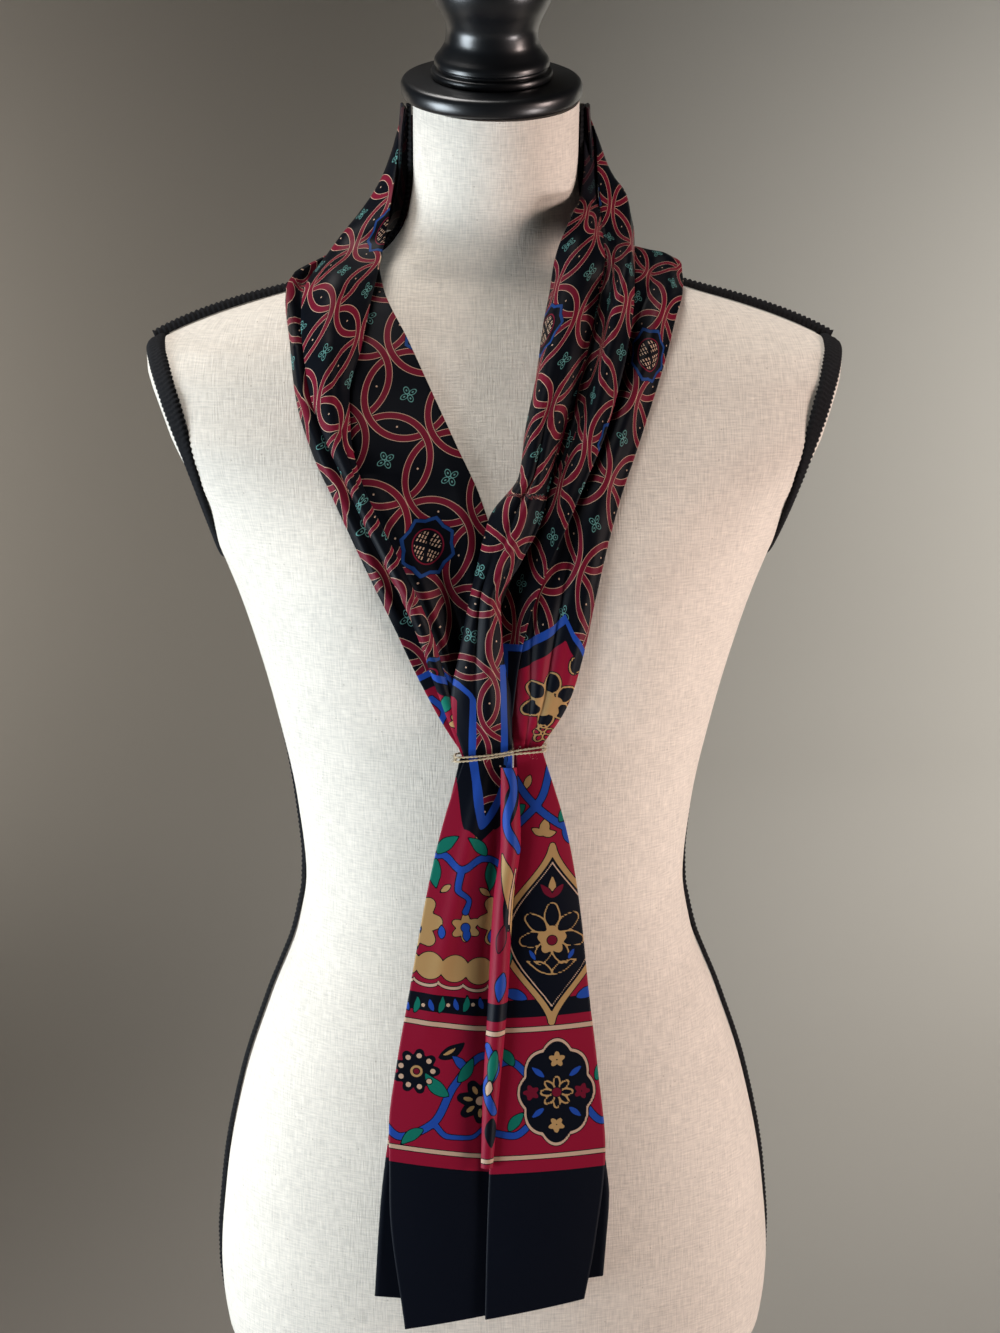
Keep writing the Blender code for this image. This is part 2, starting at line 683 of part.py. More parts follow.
def silk(name, rows, folds, place, stations, columns, finish):
    """One stretch of the cravat: its sheet, thickened outward."""
    points, normals = silk_sheet(rows, folds, place, stations, columns)
    shape = bmesh.new()
    inner = [[shape.verts.new(Vector(point) * MM) for point in row] for row in points]
    way = np.cross(points[1, 0] - points[0, 0], points[0, 1] - points[0, 0]) @ normals[0, 0]
    for low, high in zip(inner, inner[1:]):
        for k in range(columns - 1):
            corners = (low[k], high[k], high[k + 1], low[k + 1])
            shape.faces.new(corners if way > 0 else corners[::-1])
    made = mesh_object(name, shape, finish, 60)
    wall = made.modifiers.new("wall", "SOLIDIFY")
    wall.thickness = SILK_WALL * MM
    wall.offset = 1
    return made


def neck_rows(rows):
    """The neck tables with every angle counted on from the first, with no jump at 180."""
    turned_on = []
    for angle_a, height_a, out_a, angle_b, height_b, out_b, crown in rows:
        on_a = angle_a if angle_a < 0 else angle_a - 360
        on_b = angle_b if angle_b < 0 else angle_b - 360
        turned_on.append((on_a, height_a, out_a, on_b, height_b, out_b, crown))
    return turned_on


def make_cravat(print_silk, border_silk):
    silk("neck_band", neck_rows(NECK_BAND), NECK_BAND_FOLDS, form_round, 22, 8, print_silk)
    silk("nape_fall", neck_rows(NAPE_FALL), NAPE_FALL_FOLDS, form_round, 22, 7, print_silk)
    silk("right_panel", RIGHT_PANEL, RIGHT_PANEL_FOLDS, before_form, 24, 10, print_silk)
    silk("right_lapel", RIGHT_LAPEL, RIGHT_LAPEL_FOLDS, before_form, 28, 7, print_silk)
    silk("left_band", LEFT_BAND, LEFT_BAND_FOLDS, before_form, 26, 8, print_silk)
    silk("left_collar", LEFT_COLLAR, LEFT_COLLAR_FOLDS, before_form, 22, 7, print_silk)
    silk("left_panel", LEFT_PANEL, LEFT_PANEL_FOLDS, before_form, 26, 10, print_silk)
    silk("right_tail_front", RIGHT_TAIL_FRONT, TAIL_FOLDS, hanging, 18, 8, border_silk)
    silk("right_tail_back", RIGHT_TAIL_BACK, (), hanging, 14, 5, border_silk)
    silk("left_tail_front", LEFT_TAIL_FRONT, (), hanging, 18, 8, border_silk)
    silk("left_tail_back", LEFT_TAIL_BACK, (), hanging, 14, 5, border_silk)
    silk("left_tail_roll", LEFT_TAIL_ROLL, (), hanging, 18, 6, border_silk)


def make_twine(finish):
    """Two turns of twine round the gathered silk, each a closed ring."""
    for turn, level in ((1, 0.75), (2, -0.75)):
        ring = bpy.data.curves.new("twine_turn_%d" % turn, "CURVE")
        ring.dimensions = "3D"
        ring.bevel_depth = TWINE_RADIUS * MM
        ring.bevel_resolution = 2
        spline = ring.splines.new("POLY")
        steps = 28
        spline.points.add(steps - 1)
        for k in range(steps):
            angle = 2 * math.pi * k / steps
            x, y = tie_outline(angle)
            height = tie_height(x) + level
            spline.points[k].co = (x * MM, y * MM, height * MM, 1)
        spline.use_cyclic_u = True
        made = bpy.data.objects.new(ring.name, ring)
        made.data.materials.append(finish)
        CRAVAT_ON_FORM.objects.link(made)


def tie_outline(angle):
    """The tie's path round the gathered silk, an oval squared off front and back."""
    sine, cosine = math.sin(angle), math.cos(angle)
    reach = (abs(cosine) ** TIE_SQUARE + abs(sine) ** TIE_SQUARE) ** (-1 / TIE_SQUARE)
    return TIE_MIDDLE[0] + TIE_HALF[0] * reach * cosine, TIE_MIDDLE[1] + TIE_HALF[1] * reach * sine


clear_scene()
CRAVAT_ON_FORM = collection("cravat_on_dress_form")
linen = material("linen_cover", LINEN, 0.85)
tape = material("knitted_braid", BRAID_BLACK, 0.9)
turned_wood = material("black_painted_wood", PAINTED_BLACK, 0.35)
paint = material("satin_black_paint", PAINTED_BLACK, 0.4)
field = material("printed_silk_field", SILK_PRINT, 0.5)
border = material("printed_silk_border", SILK_BORDER, 0.5)
cord = material("cream_twine", TWINE_CREAM, 0.8)
make_torso(linen)
make_braids(tape)
make_cap(turned_wood)
make_stand(paint)
make_cravat(field, border)
make_twine(cord)
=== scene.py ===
"""Looks of a long printed silk cravat, tied with twine, on a linen-covered dress form.

+X is the wearer's left, the front faces -Y and +Z is up. Tables are in millimetres and degrees.
"""

import math
from functools import partialmethod

import bmesh
import bpy
import numpy as np
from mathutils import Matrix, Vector


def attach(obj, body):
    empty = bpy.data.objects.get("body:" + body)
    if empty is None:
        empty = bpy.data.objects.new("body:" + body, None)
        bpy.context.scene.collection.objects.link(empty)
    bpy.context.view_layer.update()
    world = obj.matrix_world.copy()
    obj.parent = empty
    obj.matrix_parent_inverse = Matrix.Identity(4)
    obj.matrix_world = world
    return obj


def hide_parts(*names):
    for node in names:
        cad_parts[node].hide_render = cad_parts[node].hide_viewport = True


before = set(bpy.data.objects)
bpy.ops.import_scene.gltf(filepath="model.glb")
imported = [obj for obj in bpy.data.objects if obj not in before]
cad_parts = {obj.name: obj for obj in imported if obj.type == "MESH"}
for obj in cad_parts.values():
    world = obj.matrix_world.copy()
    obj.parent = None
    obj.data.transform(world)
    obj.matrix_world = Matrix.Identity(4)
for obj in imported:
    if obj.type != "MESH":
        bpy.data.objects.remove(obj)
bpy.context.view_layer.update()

MM = 0.001
GAP = 0.3

# ---------------------------------------------------------------- shapes shared with the solid

# Dress form, one row for each level: height over the floor, half width, depth in front of
# and behind the level's centre, that centre's y, squareness of the section, forward lean.
FORM = (
    (655, 118, 74, 90, 0, 2.2, 0),
    (659, 138, 90, 106, 0, 2.2, 0),
    (667, 152, 99, 116, 0, 2.2, 0),
    (683, 163, 105, 123, 0, 2.2, 0),
    (723, 167, 107, 126, 0, 2.2, 0),
    (773, 163, 106, 122, 0, 2.2, 0),
    (835, 151, 103, 111, 0, 2.2, 0),
    (889, 133, 96, 98, 0, 2.2, 0),
    (931, 117, 89, 89, 0, 2.2, 0),
    (963, 112, 86, 86, 0, 2.2, 0),
    (1005, 116, 90, 87, 0, 2.2, 0),
    (1065, 128, 108, 93, 0, 2.3, 0),
    (1113, 141, 119, 99, 0, 2.4, 0),
    (1145, 152, 121, 103, 0, 2.5, 0),
    (1183, 172, 113, 106, 0, 2.5, 0),
    (1200, 190, 106, 106, 0, 2.5, 0),
    (1224, 211, 96, 103, 0, 2.5, 0),
    (1249, 214, 84, 96, 0, 2.5, 0),
    (1267, 204, 76, 88, 0, 2.3, 0),
    (1277, 188, 71, 83, 0, 2.1, 0),
    (1289, 160, 65, 76, 0, 2.0, 0),
    (1298, 132, 60, 71, 0, 2.0, 0),
    (1306, 104, 56, 66, 0, 2.0, 0),
    (1316, 78, 52, 61, -2, 2.0, 0),
    (1330, 58, 48, 55, -5, 2.0, 2),
    (1347, 49, 46, 50, -9, 2.0, 6),
    (1370, 46, 46, 48, -14, 2.0, 12),
    (1390, 46, 46, 46, -19, 2.0, 17),
    (1407.7, 46, 46, 46, -23, 2.0, 20),
)
BUST_SIDE = 82
BUST_HEIGHT = 1137
BUST_SPREAD = 46
BUST_RISE = 50
BUST_DEPTH = 10

# Arm plates close the armholes: height over the floor and distance from the centre plane.
ARM_PLATE = (
    (1145, 153), (1170, 159), (1183, 160.5), (1200, 167), (1224, 178.5),
    (1249, 188.5), (1272, 196.5), (1285, 199),
)
ARM_PLATE_DOME = 5
ARMHOLE_CENTRE = 1222
ARMHOLE_FOOT = 1168

SEAM_FLAT = 6
# Armhole braid: height over the floor and width, full at the shoulder, narrow at the foot.
ARMHOLE_BRAID_WIDE = ((1165, 4), (1195, 6), (1240, 10.5))
ARMHOLE_BRAID_SUNK = 1.5
BRAID_THICKNESS = 2.4
RIDGE_BRAID_WIDTH = 9
# Braid along the neck and shoulder: height over the floor and thickness, fuller on the shoulder.
RIDGE_BRAID_FULL = ((1290, 5), (1300, 4.6), (1308, 3.4), (1335, 2.4), (1404, 2.4))
# Side seam: height over the floor and distance behind the centre plane.
SIDE_SEAM = ((668, 14), (720, 10), (790, 5), (860, 3.5), (930, 6), (1000, 12), (1070, 16.5), (1130, 18))

CAP_RADIUS = 50
CAP_THICKNESS = 11
CAP_CENTRE = (-2.5, -23, 1408)
CAP_LEAN = 20
# Turned finial: radius and height over the cap, from the top down.
FINIAL = (
    (0, 79), (12, 78), (24, 73.5), (32, 66), (34.5, 57), (34, 49), (31.5, 41), (27.5, 33),
    (25.2, 26), (25.6, 20), (28.5, 14), (31.5, 9.6), (31.7, 7.4), (30.2, 6.2), (30.6, 5),
    (33, 4.4), (33.6, 2.4), (33, 0.4), (0, 0.3),
)

STAND_RADIUS = 180
STAND_THICKNESS = 20
POLE_RADIUS = 12.5
SOCKET_RADIUS = 38
SOCKET_HEIGHT = 14

TIE_LEVEL = 1058
TIE_SLOPE = 0.12
SEAM = 0.6
TIE_MIDDLE = (-1, -113.6)
TIE_HALF = (24.2, 5.5)
TIE_SQUARE = 5


def tie_height(x):
    """Height of the tie over the floor at x: it sits a little higher on the wearer's left."""
    return TIE_LEVEL + TIE_SLOPE * x


def at_tie(x_a, out_a, x_b, out_b, gap=SEAM):
    """The section of a stretch next to the tie, a little over it or, with gap below 0, under it."""
    return (x_a, tie_height(x_a) + gap, out_a, x_b, tie_height(x_b) + gap, out_b, 0)


# Stretches of the cravat in front of the form. Each row is a section across the silk: x,
# height and stand-off of the first edge, the same of the second edge, and how far the middle
# is crowned. The stand-off is counted forward from the form's front surface, and beside the
# neck from the form's middle.
RIGHT_PANEL = (
    (-93, 1315, 4, -66.5, 1330, 1, 1),
    (-112, 1304, 10, -66, 1322, 5, 2),
    (-115, 1297, 8, -63, 1304, 4, 3),
    (-112, 1276, 4, -49.5, 1276, 2, 3),
    (-108, 1245, 3, -37, 1249, 1.5, 2),
    (-99, 1217, 3, -24, 1221, 1.5, 2),
    (-88, 1194, 3, -12, 1195, 1.5, 1),
    (-75, 1167, 3, -6, 1174, 1.5, 1),
    (-60, 1136, 3, -4, 1148, 1.5, 1),
    (-45, 1102, 3.5, -3, 1121, 2, 0),
    (-30, 1072, 4, -4, 1088, 3.5, 0),
    at_tie(-20, 5, -5, 5),
)
RIGHT_LAPEL = (
    (-65, 1336, -25.5, -49.5, 1403, -17.5, 2),
    (-72, 1336, -14, -53, 1384, -10, 2),
    (-84, 1330, 0, -56, 1364, 4, 2),
    (-97, 1317, 20, -60, 1340, 21, 4),
    (-105, 1302, 29, -65, 1316, 20, 6),
    (-106, 1286, 18, -69, 1300, 14, 7),
    (-104, 1268, 13, -75, 1272, 11, 7),
    (-100, 1246, 11, -81, 1248, 10, 6),
    (-92, 1224, 10, -80, 1226, 10, 4),
    (-82, 1204, 9.5, -75, 1205, 10, 3),
    (-71, 1181, 9, -65, 1183, 9.5, 2.5),
    (-58, 1156, 8.5, -52, 1158, 9, 2.5),
    (-47, 1132, 8, -41, 1134, 8.5, 2.5),
    (-34, 1094, 7.5, -29, 1095, 8, 2),
    at_tie(-21, 7.2, -17, 7.2),
)
LEFT_BAND = (
    (48, 1403, -16, 50.5, 1402, -17, 0),
    (49, 1376, -4, 56, 1372, -4, 0.5),
    (46, 1354, 8, 56, 1351, 8, 1),
    (39, 1341, 22, 57, 1340, 18, 3),
    (31, 1318, 12, 57, 1322, 30, 5),
    (29, 1304, 7, 54, 1307, 22, 8),
    (25, 1286, 5, 50, 1289, 16, 8),
    (20, 1256, 4, 42, 1258, 12, 8),
    (14, 1230, 4, 33, 1231, 10, 8),
    (10, 1206, 5, 25, 1204, 9, 7),
    (-6, 1185, 6, 19, 1183, 10.5, 7),
    (-12, 1164, 6.5, 9, 1163, 8, 7),
    (-17, 1143, 7, -2, 1142, 8, 5.5),
    (-22, 1117, 8, -0.5, 1115, 8, 5),
    (-27, 1087, 9, 4, 1087, 7, 5),
    at_tie(-20, 9, 5, 9),
)
LEFT_COLLAR = (
    (49.5, 1403, -17.5, 65, 1336, -25.5, 2),
    (55.5, 1386, -8, 68, 1342, -14, 3),
    (56.5, 1371, 0, 74, 1345, -4, 4),
    (57, 1356, 8, 77, 1336, 6, 4),
    (58, 1341, 17, 76, 1323, 17, 4),
    (59, 1325, 23, 73, 1307, 23, 4),
    (57, 1306, 18, 71, 1291, 21, 4),
    (53, 1288, 8, 68, 1273, 16, 3),
    (46, 1262, 4, 62, 1250, 12, 3),
    (38, 1236, 2.5, 54, 1226, 10, 2),
    (30, 1212, 2, 44, 1204, 8.5, 2),
    (19, 1186, 2, 33, 1180, 8, 1),
    (8, 1160, 2.5, 22, 1156, 8, 0),
    (-1, 1134, 3, 13, 1131, 7.5, 0),
    (-3, 1108, 3.5, 8, 1106, 6, 0),
    (0, 1080, 6.5, 5, 1079, 7, 0),
)
LEFT_PANEL = (
    (63, 1331, -4, 98, 1319, -4, 1),
    (60, 1328, 0, 101, 1320, 2, 2),
    (60, 1322, 8, 104.5, 1317, 8, 2),
    (58, 1312, 8, 104.5, 1310, 10, 2),
    (53, 1300, 4, 101.5, 1300, 9, 2),
    (48, 1287, 2, 97, 1290, 7, 3),
    (41, 1266, 1.5, 90, 1268, 3, 2),
    (30, 1240, 1.5, 81, 1243, 2, 2),
    (22, 1216, 1.5, 72, 1219, 2, 2),
    (15, 1191, 1.5, 62, 1193, 2, 2),
    (9, 1166, 1.5, 54, 1167, 2, 2),
    (4, 1141, 1.5, 48, 1142, 2, 3),
    (2, 1116, 2, 43, 1116, 2, 4.5),
    (4, 1088, 3, 35, 1086, 3, 5.5),
    at_tie(7, 5, 21, 5),
)

# Stretches round the back of the neck. Each row: angle round the form from its front, counted
# on past the back, height and stand-off of the upper edge, the same of the lower edge, the crown.
NECK_BAND = (
    (-84, 1403, 4, -84, 1338, 9, 0.5),
    (-98, 1402, 6, -98, 1337, 12, 0),
    (-112, 1399, 9, -112, 1336, 14, 1),
    (-130, 1389, 13, -130, 1335, 15, 3),
    (-155, 1385, 17, -155, 1333, 15, 3),
    (-180, 1384, 18, -180, 1332, 14, 3),
    (-205, 1385, 17, -205, 1333, 15, 3),
    (-230, 1389, 13, -230, 1335, 15, 3),
    (-248, 1399, 9, -248, 1336, 14, 1),
    (-262, 1402, 6, -262, 1337, 12, 0),
    (-276, 1403, 4, -276, 1338, 9, 0.5),
)
NAPE_FALL = (
    (-88, 1331, 10, -87, 1316, 15, 2),
    (-116, 1336, 7, -112, 1308, 13, 2),
    (-150, 1343, 6, -146, 1299, 7, 2),
    (-180, 1345, 6, -180, 1296, 5, 2),
    (-210, 1343, 6, -214, 1299, 7, 2),
    (-244, 1336, 7, -248, 1306, 14, 2),
    (-267, 1333, 6, -269, 1316, 21, 2),
)

# Tails under the tie. Each row: x, height and y of the first edge, the same of the second.
RIGHT_TAIL_FRONT = (
    at_tie(-20, -116, 5, -116, -SEAM),
    (-31, 1021, -117, 5, 1022, -117, 2),
    (-39, 987, -116, 4, 988, -116, 2),
    (-46, 949, -115, 2, 948, -115, 2),
    (-51, 920, -115, 1, 920, -115, 2),
    (-57, 886, -115, 0, 885, -115, 2),
    (-62, 845, -115, -1, 844, -115, 2),
    (-62, 804, -115, -2, 803, -115, 2),
    (-54, 727, -115, -2, 736, -115, 1),
)
RIGHT_TAIL_BACK = (
    at_tie(-22, -111, -2, -111, -SEAM),
    (-30, 1021, -113, -1, 1020, -112, 0),
    (-38, 987, -112, -1, 986, -112, 0),
    (-45, 947, -111, -2, 947, -111, 0),
    (-50, 919, -111, -4, 918, -111, 0),
    (-56, 884, -111, -5, 884, -111, 0),
    (-62, 843, -110.5, -9, 843, -111, 0),
    (-67, 802, -110.5, -13, 801, -111, 0),
    (-71, 745, -110.5, -18, 740, -111, 0),
)
LEFT_TAIL_FRONT = (
    at_tie(8, -115, 21, -114, -SEAM),
    (8, 1010, -118, 35.5, 1010, -117, 2),
    (6, 971, -119, 42, 971, -116, 2),
    (2, 926, -119, 47, 925, -116, 2),
    (-2, 880, -119, 52.5, 879, -116, 2),
    (-6, 833, -119, 57, 832, -116, 2),
    (-8, 780, -119, 52, 779, -116, 2),
    (-9, 734, -119, 46, 744, -116, 1),
)
LEFT_TAIL_BACK = (
    at_tie(7, -111.5, 20.5, -112, -SEAM),
    (7, 1009, -112, 35, 1009, -112, 0),
    (6, 969, -111, 41, 969, -111, 0),
    (5, 924, -111, 46, 923, -111, 0),
    (4, 878, -111, 52, 877, -111, 0),
    (4, 831, -111, 57, 830, -110.5, 0),
    (4, 804, -111, 60, 803, -110.5, 0),
    (4, 776, -111, 58.5, 776, -110.5, 0),
    (4, 748, -111, 57, 755, -110.5, 0),
)
LEFT_TAIL_ROLL = (
    (0, 1051, -118.6, 7, 1051, -118.6, 2),
    (0, 1012, -120.8, 9, 1012, -121, 4),
    (-4, 978, -121, 5, 978, -121.2, 4),
    (-7, 921, -121, 2, 921, -121.2, 3.5),
    (-10, 863, -121, -3, 863, -121.2, 2.5),
    (-11, 825, -120.9, -6, 825, -121, 1.5),
)

# Folds: where across the silk (0 to 1) a fold starts and ends, its height (negative for a
# trough), its half width across, and where along the stretch (0 to 1) it starts and ends.
RIGHT_PANEL_FOLDS = (
    (0.05, 0.06, 8, 0.045, -0.3, 0.75),
    (0.24, 0.22, -1.5, 0.06, -0.2, 0.55),
    (0.52, 0.38, 1.8, 0.10, 0.05, 0.6),
    (0.30, 0.48, 3, 0.06, 0.5, 1.05),
    (0.50, 0.62, -2.5, 0.06, 0.5, 1.05),
    (0.86, 0.76, 2.2, 0.07, 0.45, 1.0),
)
RIGHT_LAPEL_FOLDS = (
    (0.30, 0.60, 2, 0.20, 0.0, 0.5),
    (0.62, 0.70, -1.6, 0.10, 0.25, 0.6),
)
LEFT_BAND_FOLDS = (
    (0.92, 0.90, -5, 0.12, 0.28, 0.8),
    (0.35, 0.30, 1.5, 0.16, 0.15, 0.75),
    (0.62, 0.48, -2.2, 0.09, 0.40, 0.75),
    (0.30, 0.42, -2, 0.09, 0.62, 1.02),
    (0.72, 0.60, 1.6, 0.10, 0.6, 1.0),
)
LEFT_COLLAR_FOLDS = (
    (0.62, 0.70, 4, 0.16, 0.0, 0.75),
    (0.30, 0.25, -2, 0.10, 0.1, 0.7),
)
LEFT_PANEL_FOLDS = (
    (0.62, 0.52, -2, 0.07, 0.02, 0.6),
    (0.82, 0.74, 5, 0.11, 0.0, 0.75),
    (0.42, 0.30, 2.4, 0.08, 0.3, 0.8),
    (0.66, 0.52, -2.4, 0.07, 0.62, 1.03),
    (0.30, 0.38, -1.8, 0.06, 0.7, 1.03),
    (0.86, 0.90, 1.5, 0.07, 0.5, 1.0),
)
NECK_BAND_FOLDS = (
    (0.38, 0.42, -3, 0.09, 0.15, 0.85),
    (0.72, 0.66, 3, 0.12, 0.2, 0.8),
)
NAPE_FALL_FOLDS = ((0.55, 0.6, -1.5, 0.10, 0.1, 0.9),)
TAIL_FOLDS = (
    (0.50, 0.22, 1.5, 0.10, -0.05, 0.5),
    (0.80, 0.88, -1.5, 0.10, 0.0, 0.8),
)

# ---------------------------------------------------------------- finishes, as sRGB colours

LINEN = "#e6ddd0"
LINEN_FLECK = "#8f7f6b"
BRAID_BLACK = "#060606"
# Lighter tone of the braid's random fibre grain; its brightness also stands in as painted highlights on the
# knit.
BRAID_LINT_AND_HIGHLIGHT = "#242427"
CAP_BLACK = "#0d0f12"
GROUND = "#070a11"
CRIMSON = "#6b1429"
CREAM = "#c3a48c"
MINT = "#5d8f8a"
BLUE = "#2148a0"
MEDALLION_BLUE = "#1b3c74"
GOLD = "#b08c5c"
TEAL = "#136f5e"
BORDER_RED = "#8c1530"
BORDER_BLACK = "#0b0f19"
# Dark colour of the silk's inner side, also laid on parts of the printed face as painted shade.
REVERSE_AND_PAINTED_SHADE = "#15141a"
TWINE_DARK = "#a98f68"
TWINE_LIGHT = "#efe2c4"
PAPER = "#b9b4ac"
ROOM = "#d9d7d4"

# The field's print is a square lattice of bands. Each row: x and z of one crossing, the steps
# to the next crossing on either side, and the first crossing's number along the first step.
LATTICES = {
    "right_panel": (-59.8, 1279, 33.9, -9.5, -12.3, -37.1, 0),
    "right_lapel": (-88.1, 1308, 14.1, -15.4, -23.6, -36.9, 4),
    "left_band": (41.1, 1302.3, 11.2, -17.3, -26.3, -33.6, -2),
    "left_band_low": (4, 1176, -4.5, -34, 30, -6, 2),
    "left_collar": (69.4, 1304, 11.6, -27.6, -17.1, -24.6, 3),
    "left_panel": (90, 1305.2, -23, -10.9, 6.6, -36.9, 7),
    "neck_band": (0, 0, 27, 27, -27, 27, 0),
    "nape_fall": (0, 0, 27, 27, -27, 27, 0),
    "tails": (-9, 1068, 16, -33, -33, -16, 0),
}
# Height where the left band is folded over; height over which its printed face is painted in the
# dark reverse colour as painted shade, where it turns back into the neck's shadow; and the y in
# front of which the neck band's printed face is painted the same dark, as painted shade for its
# shaded inside.
LEFT_BAND_TURN = 1202
LEFT_BAND_SHADE_ABOVE = 1352
NECK_BAND_SHADE_BEFORE = 8
BAND_WIDTH = 0.103
BAND_LINE = 0.0075
MEDALLION_EVERY = 10
MEDALLION_AT = 7

# ---------------------------------------------------------------- curves and the form's surface


def smooth(places, values, at):
    """Monotone cubic curve through (places, values), each value a row of numbers."""
    x = np.asarray(places, float)
    y = np.asarray(values, float)
    step = np.diff(x)[:, None]
    slope = np.diff(y, axis=0) / step
    tangent = np.zeros_like(y)
    tangent[0], tangent[-1] = slope[0], slope[-1]
    before, after = slope[:-1], slope[1:]
    same_way = before * after > 0
    weight_a = 2 * step[1:] + step[:-1]
    weight_b = step[1:] + 2 * step[:-1]
    safe_before = np.where(same_way, before, 1)
    safe_after = np.where(same_way, after, 1)
    mean = (weight_a + weight_b) / (weight_a / safe_before + weight_b / safe_after)
    tangent[1:-1] = np.where(same_way, mean, 0)
    at = np.clip(at, x[0], x[-1])
    index = np.clip(np.searchsorted(x, at, side="right") - 1, 0, len(x) - 2)
    width = (x[index + 1] - x[index])[..., None]
    t = (at - x[index])[..., None] / width
    return (
        (1 + 2 * t) * (1 - t) ** 2 * y[index]
        + t * (1 - t) ** 2 * width * tangent[index]
        + t * t * (3 - 2 * t) * y[index + 1]
        + t * t * (t - 1) * width * tangent[index + 1]
    )


def run_along(points):
    """Length from the start of a path to each of its points, or of many paths side by side."""
    steps = np.linalg.norm(np.diff(points, axis=0), axis=-1)
    return np.concatenate([0 * steps[:1], np.cumsum(steps, axis=0)])


def unit(vectors):
    return vectors / np.linalg.norm(vectors, axis=-1, keepdims=True)


def from_table(height, table):
    """Value at a height from a table of heights and values."""
    return np.interp(height, *np.transpose(table))


def form_level(height):
    """Half width, front, back, centre y, squareness and lean of the form at a height."""
    table = np.asarray(FORM, float)
    return smooth(table[:, 0], table[:, 1:], np.asarray(height, float))


def bust(x, height):
    side = (np.abs(x) - BUST_SIDE) / BUST_SPREAD
    rise = (height - BUST_HEIGHT) / BUST_RISE
    return BUST_DEPTH * np.exp(-(side**2) - rise**2)


def form_front(x, height):
    """y of the form's front surface at x and height, and of its middle outside its width."""
    half, front, _, centre, square, _ = np.moveaxis(form_level(height), -1, 0)
    across = np.abs(x) / half
    across = across / (1 + across**12) ** (1 / 12)
    return centre - front * (1 - across**square) ** (1 / square) - bust(x, height)


def form_round(angle, height, stand_off):
    """Point of the form's surface at an angle from its front, moved out level with it."""
    half, front, back, centre, square, lean = np.moveaxis(form_level(height), -1, 0)
    sine, cosine = np.sin(np.radians(angle)), np.cos(np.radians(angle))
    depth = np.where(cosine >= 0, front, back)
    reach = (np.abs(sine / half) ** square + np.abs(cosine / depth) ** square) ** (-1 / square)
    x, y = reach * sine, -reach * cosine
    out_x = np.sign(x) * np.abs(x) ** (square - 1) / half**square
    out_y = np.sign(y) * np.abs(y) ** (square - 1) / depth**square
    length = np.hypot(out_x, out_y)
    x = x + stand_off * out_x / length
    y = y + stand_off * out_y / length
    lifted = height + y * np.tan(np.radians(lean))
    y = y + centre - np.where(cosine > 0, bust(x, height) * cosine, 0)
    return np.stack([x, y, lifted], -1)


# ---------------------------------------------------------------- materials


def linear(colour):
    """Linear colour of an sRGB one written #rrggbb."""
    parts = [int(colour[k : k + 2], 16) / 255 for k in (1, 3, 5)]
    return [c / 12.92 if c <= 0.04045 else ((c + 0.055) / 1.055) ** 2.4 for c in parts]


def feed(node, **inputs):
    """Puts a value, a colour or another node's output into each named or numbered input."""
    for name, value in inputs.items():
        spot = node.inputs[int(name[1:])] if name[0] == "_" else node.inputs[name.replace("_", " ")]
        value = getattr(value, "socket", value)
        if isinstance(value, bpy.types.NodeSocket):
            node.id_data.links.new(value, spot)
        elif isinstance(value, str):
            spot.default_value = (*linear(value), 1)
        else:
            spot.default_value = value


def add(tree, kind, settings=None, **inputs):
    """New node of a material, with its settings and what goes into its inputs."""
    node = tree.nodes.new(kind)
    for name, value in (settings or {}).items():
        setattr(node, name, value)
    feed(node, **inputs)
    return node


class Term:
    """A number worked out in a material, so that its patterns read as formulas."""

    def __init__(self, socket):
        self.socket = socket

    def does(self, operation, *others):
        values = {"_%d" % (k + 1): other for k, other in enumerate(others)}
        tree = self.socket.id_data
        return Term(add(tree, "ShaderNodeMath", {"operation": operation}, _0=self, **values).outputs[0])


for word, operation in {
    "__add__": "ADD", "__sub__": "SUBTRACT", "__mul__": "MULTIPLY", "__truediv__": "DIVIDE",
    "__lt__": "LESS_THAN", "__gt__": "GREATER_THAN", "__abs__": "ABSOLUTE", "least": "MINIMUM",
    "most": "MAXIMUM", "fraction": "FRACT", "floor": "FLOOR",
}.items():
    setattr(Term, word, partialmethod(Term.does, operation))


def distance(a, b):
    return (a * a + b * b).does("SQRT")


def chosen(switch, yes, no):
    """yes where the switch is 1 and no where it is 0."""
    return yes * switch + no * (switch * -1 + 1)


def painted(colour, mask, over):
    """The colour laid over another wherever the mask is 1."""
    tree = mask.socket.id_data
    return add(tree, "ShaderNodeMix", {"data_type": "RGBA"}, _0=mask, _6=colour, _7=over).outputs[2]


def new_material(name):
    made = bpy.data.materials.new(name)
    made.use_nodes = True
    return made, made.node_tree, made.node_tree.nodes["Principled BSDF"]


def fibre_material(name, dark, light, grain, relief, depth, **finish):
    """Fuzzy fibre: two tones in a fine grain that also roughens the surface."""
    made, tree, shader = new_material(name)
    at = add(tree, "ShaderNodeTexCoord").outputs["Object"]
    fuzz = add(tree, "ShaderNodeTexNoise", Vector=at, Scale=grain, Detail=3.0).outputs[0]
    bump = add(tree, "ShaderNodeBump", Height=fuzz, Strength=relief, Distance=depth).outputs[0]
    feed(shader, Base_Color=painted(dark, Term(fuzz), light), Normal=bump, **finish)
    return made


# ---------------------------------------------------------------- meshes

SHARP = 60


def placed(name, mesh, finish):
    """The object of a mesh, smooth but for its sharp corners."""
    mesh.shade_smooth()
    mesh.set_sharp_from_angle(angle=math.radians(SHARP))
    mesh.materials.append(finish)
    made = bpy.data.objects.new(name, mesh)
    bpy.context.scene.collection.objects.link(made)
    return made


def surface(name, points, faces, finish):
    mesh = bpy.data.meshes.new(name)
    mesh.from_pydata((points.reshape(-1, 3) * MM).tolist(), [], faces)
    shape = bmesh.new()
    shape.from_mesh(mesh)
    bmesh.ops.recalc_face_normals(shape, faces=shape.faces)
    shape.to_mesh(mesh)
    shape.free()
    return placed(name, mesh, finish)


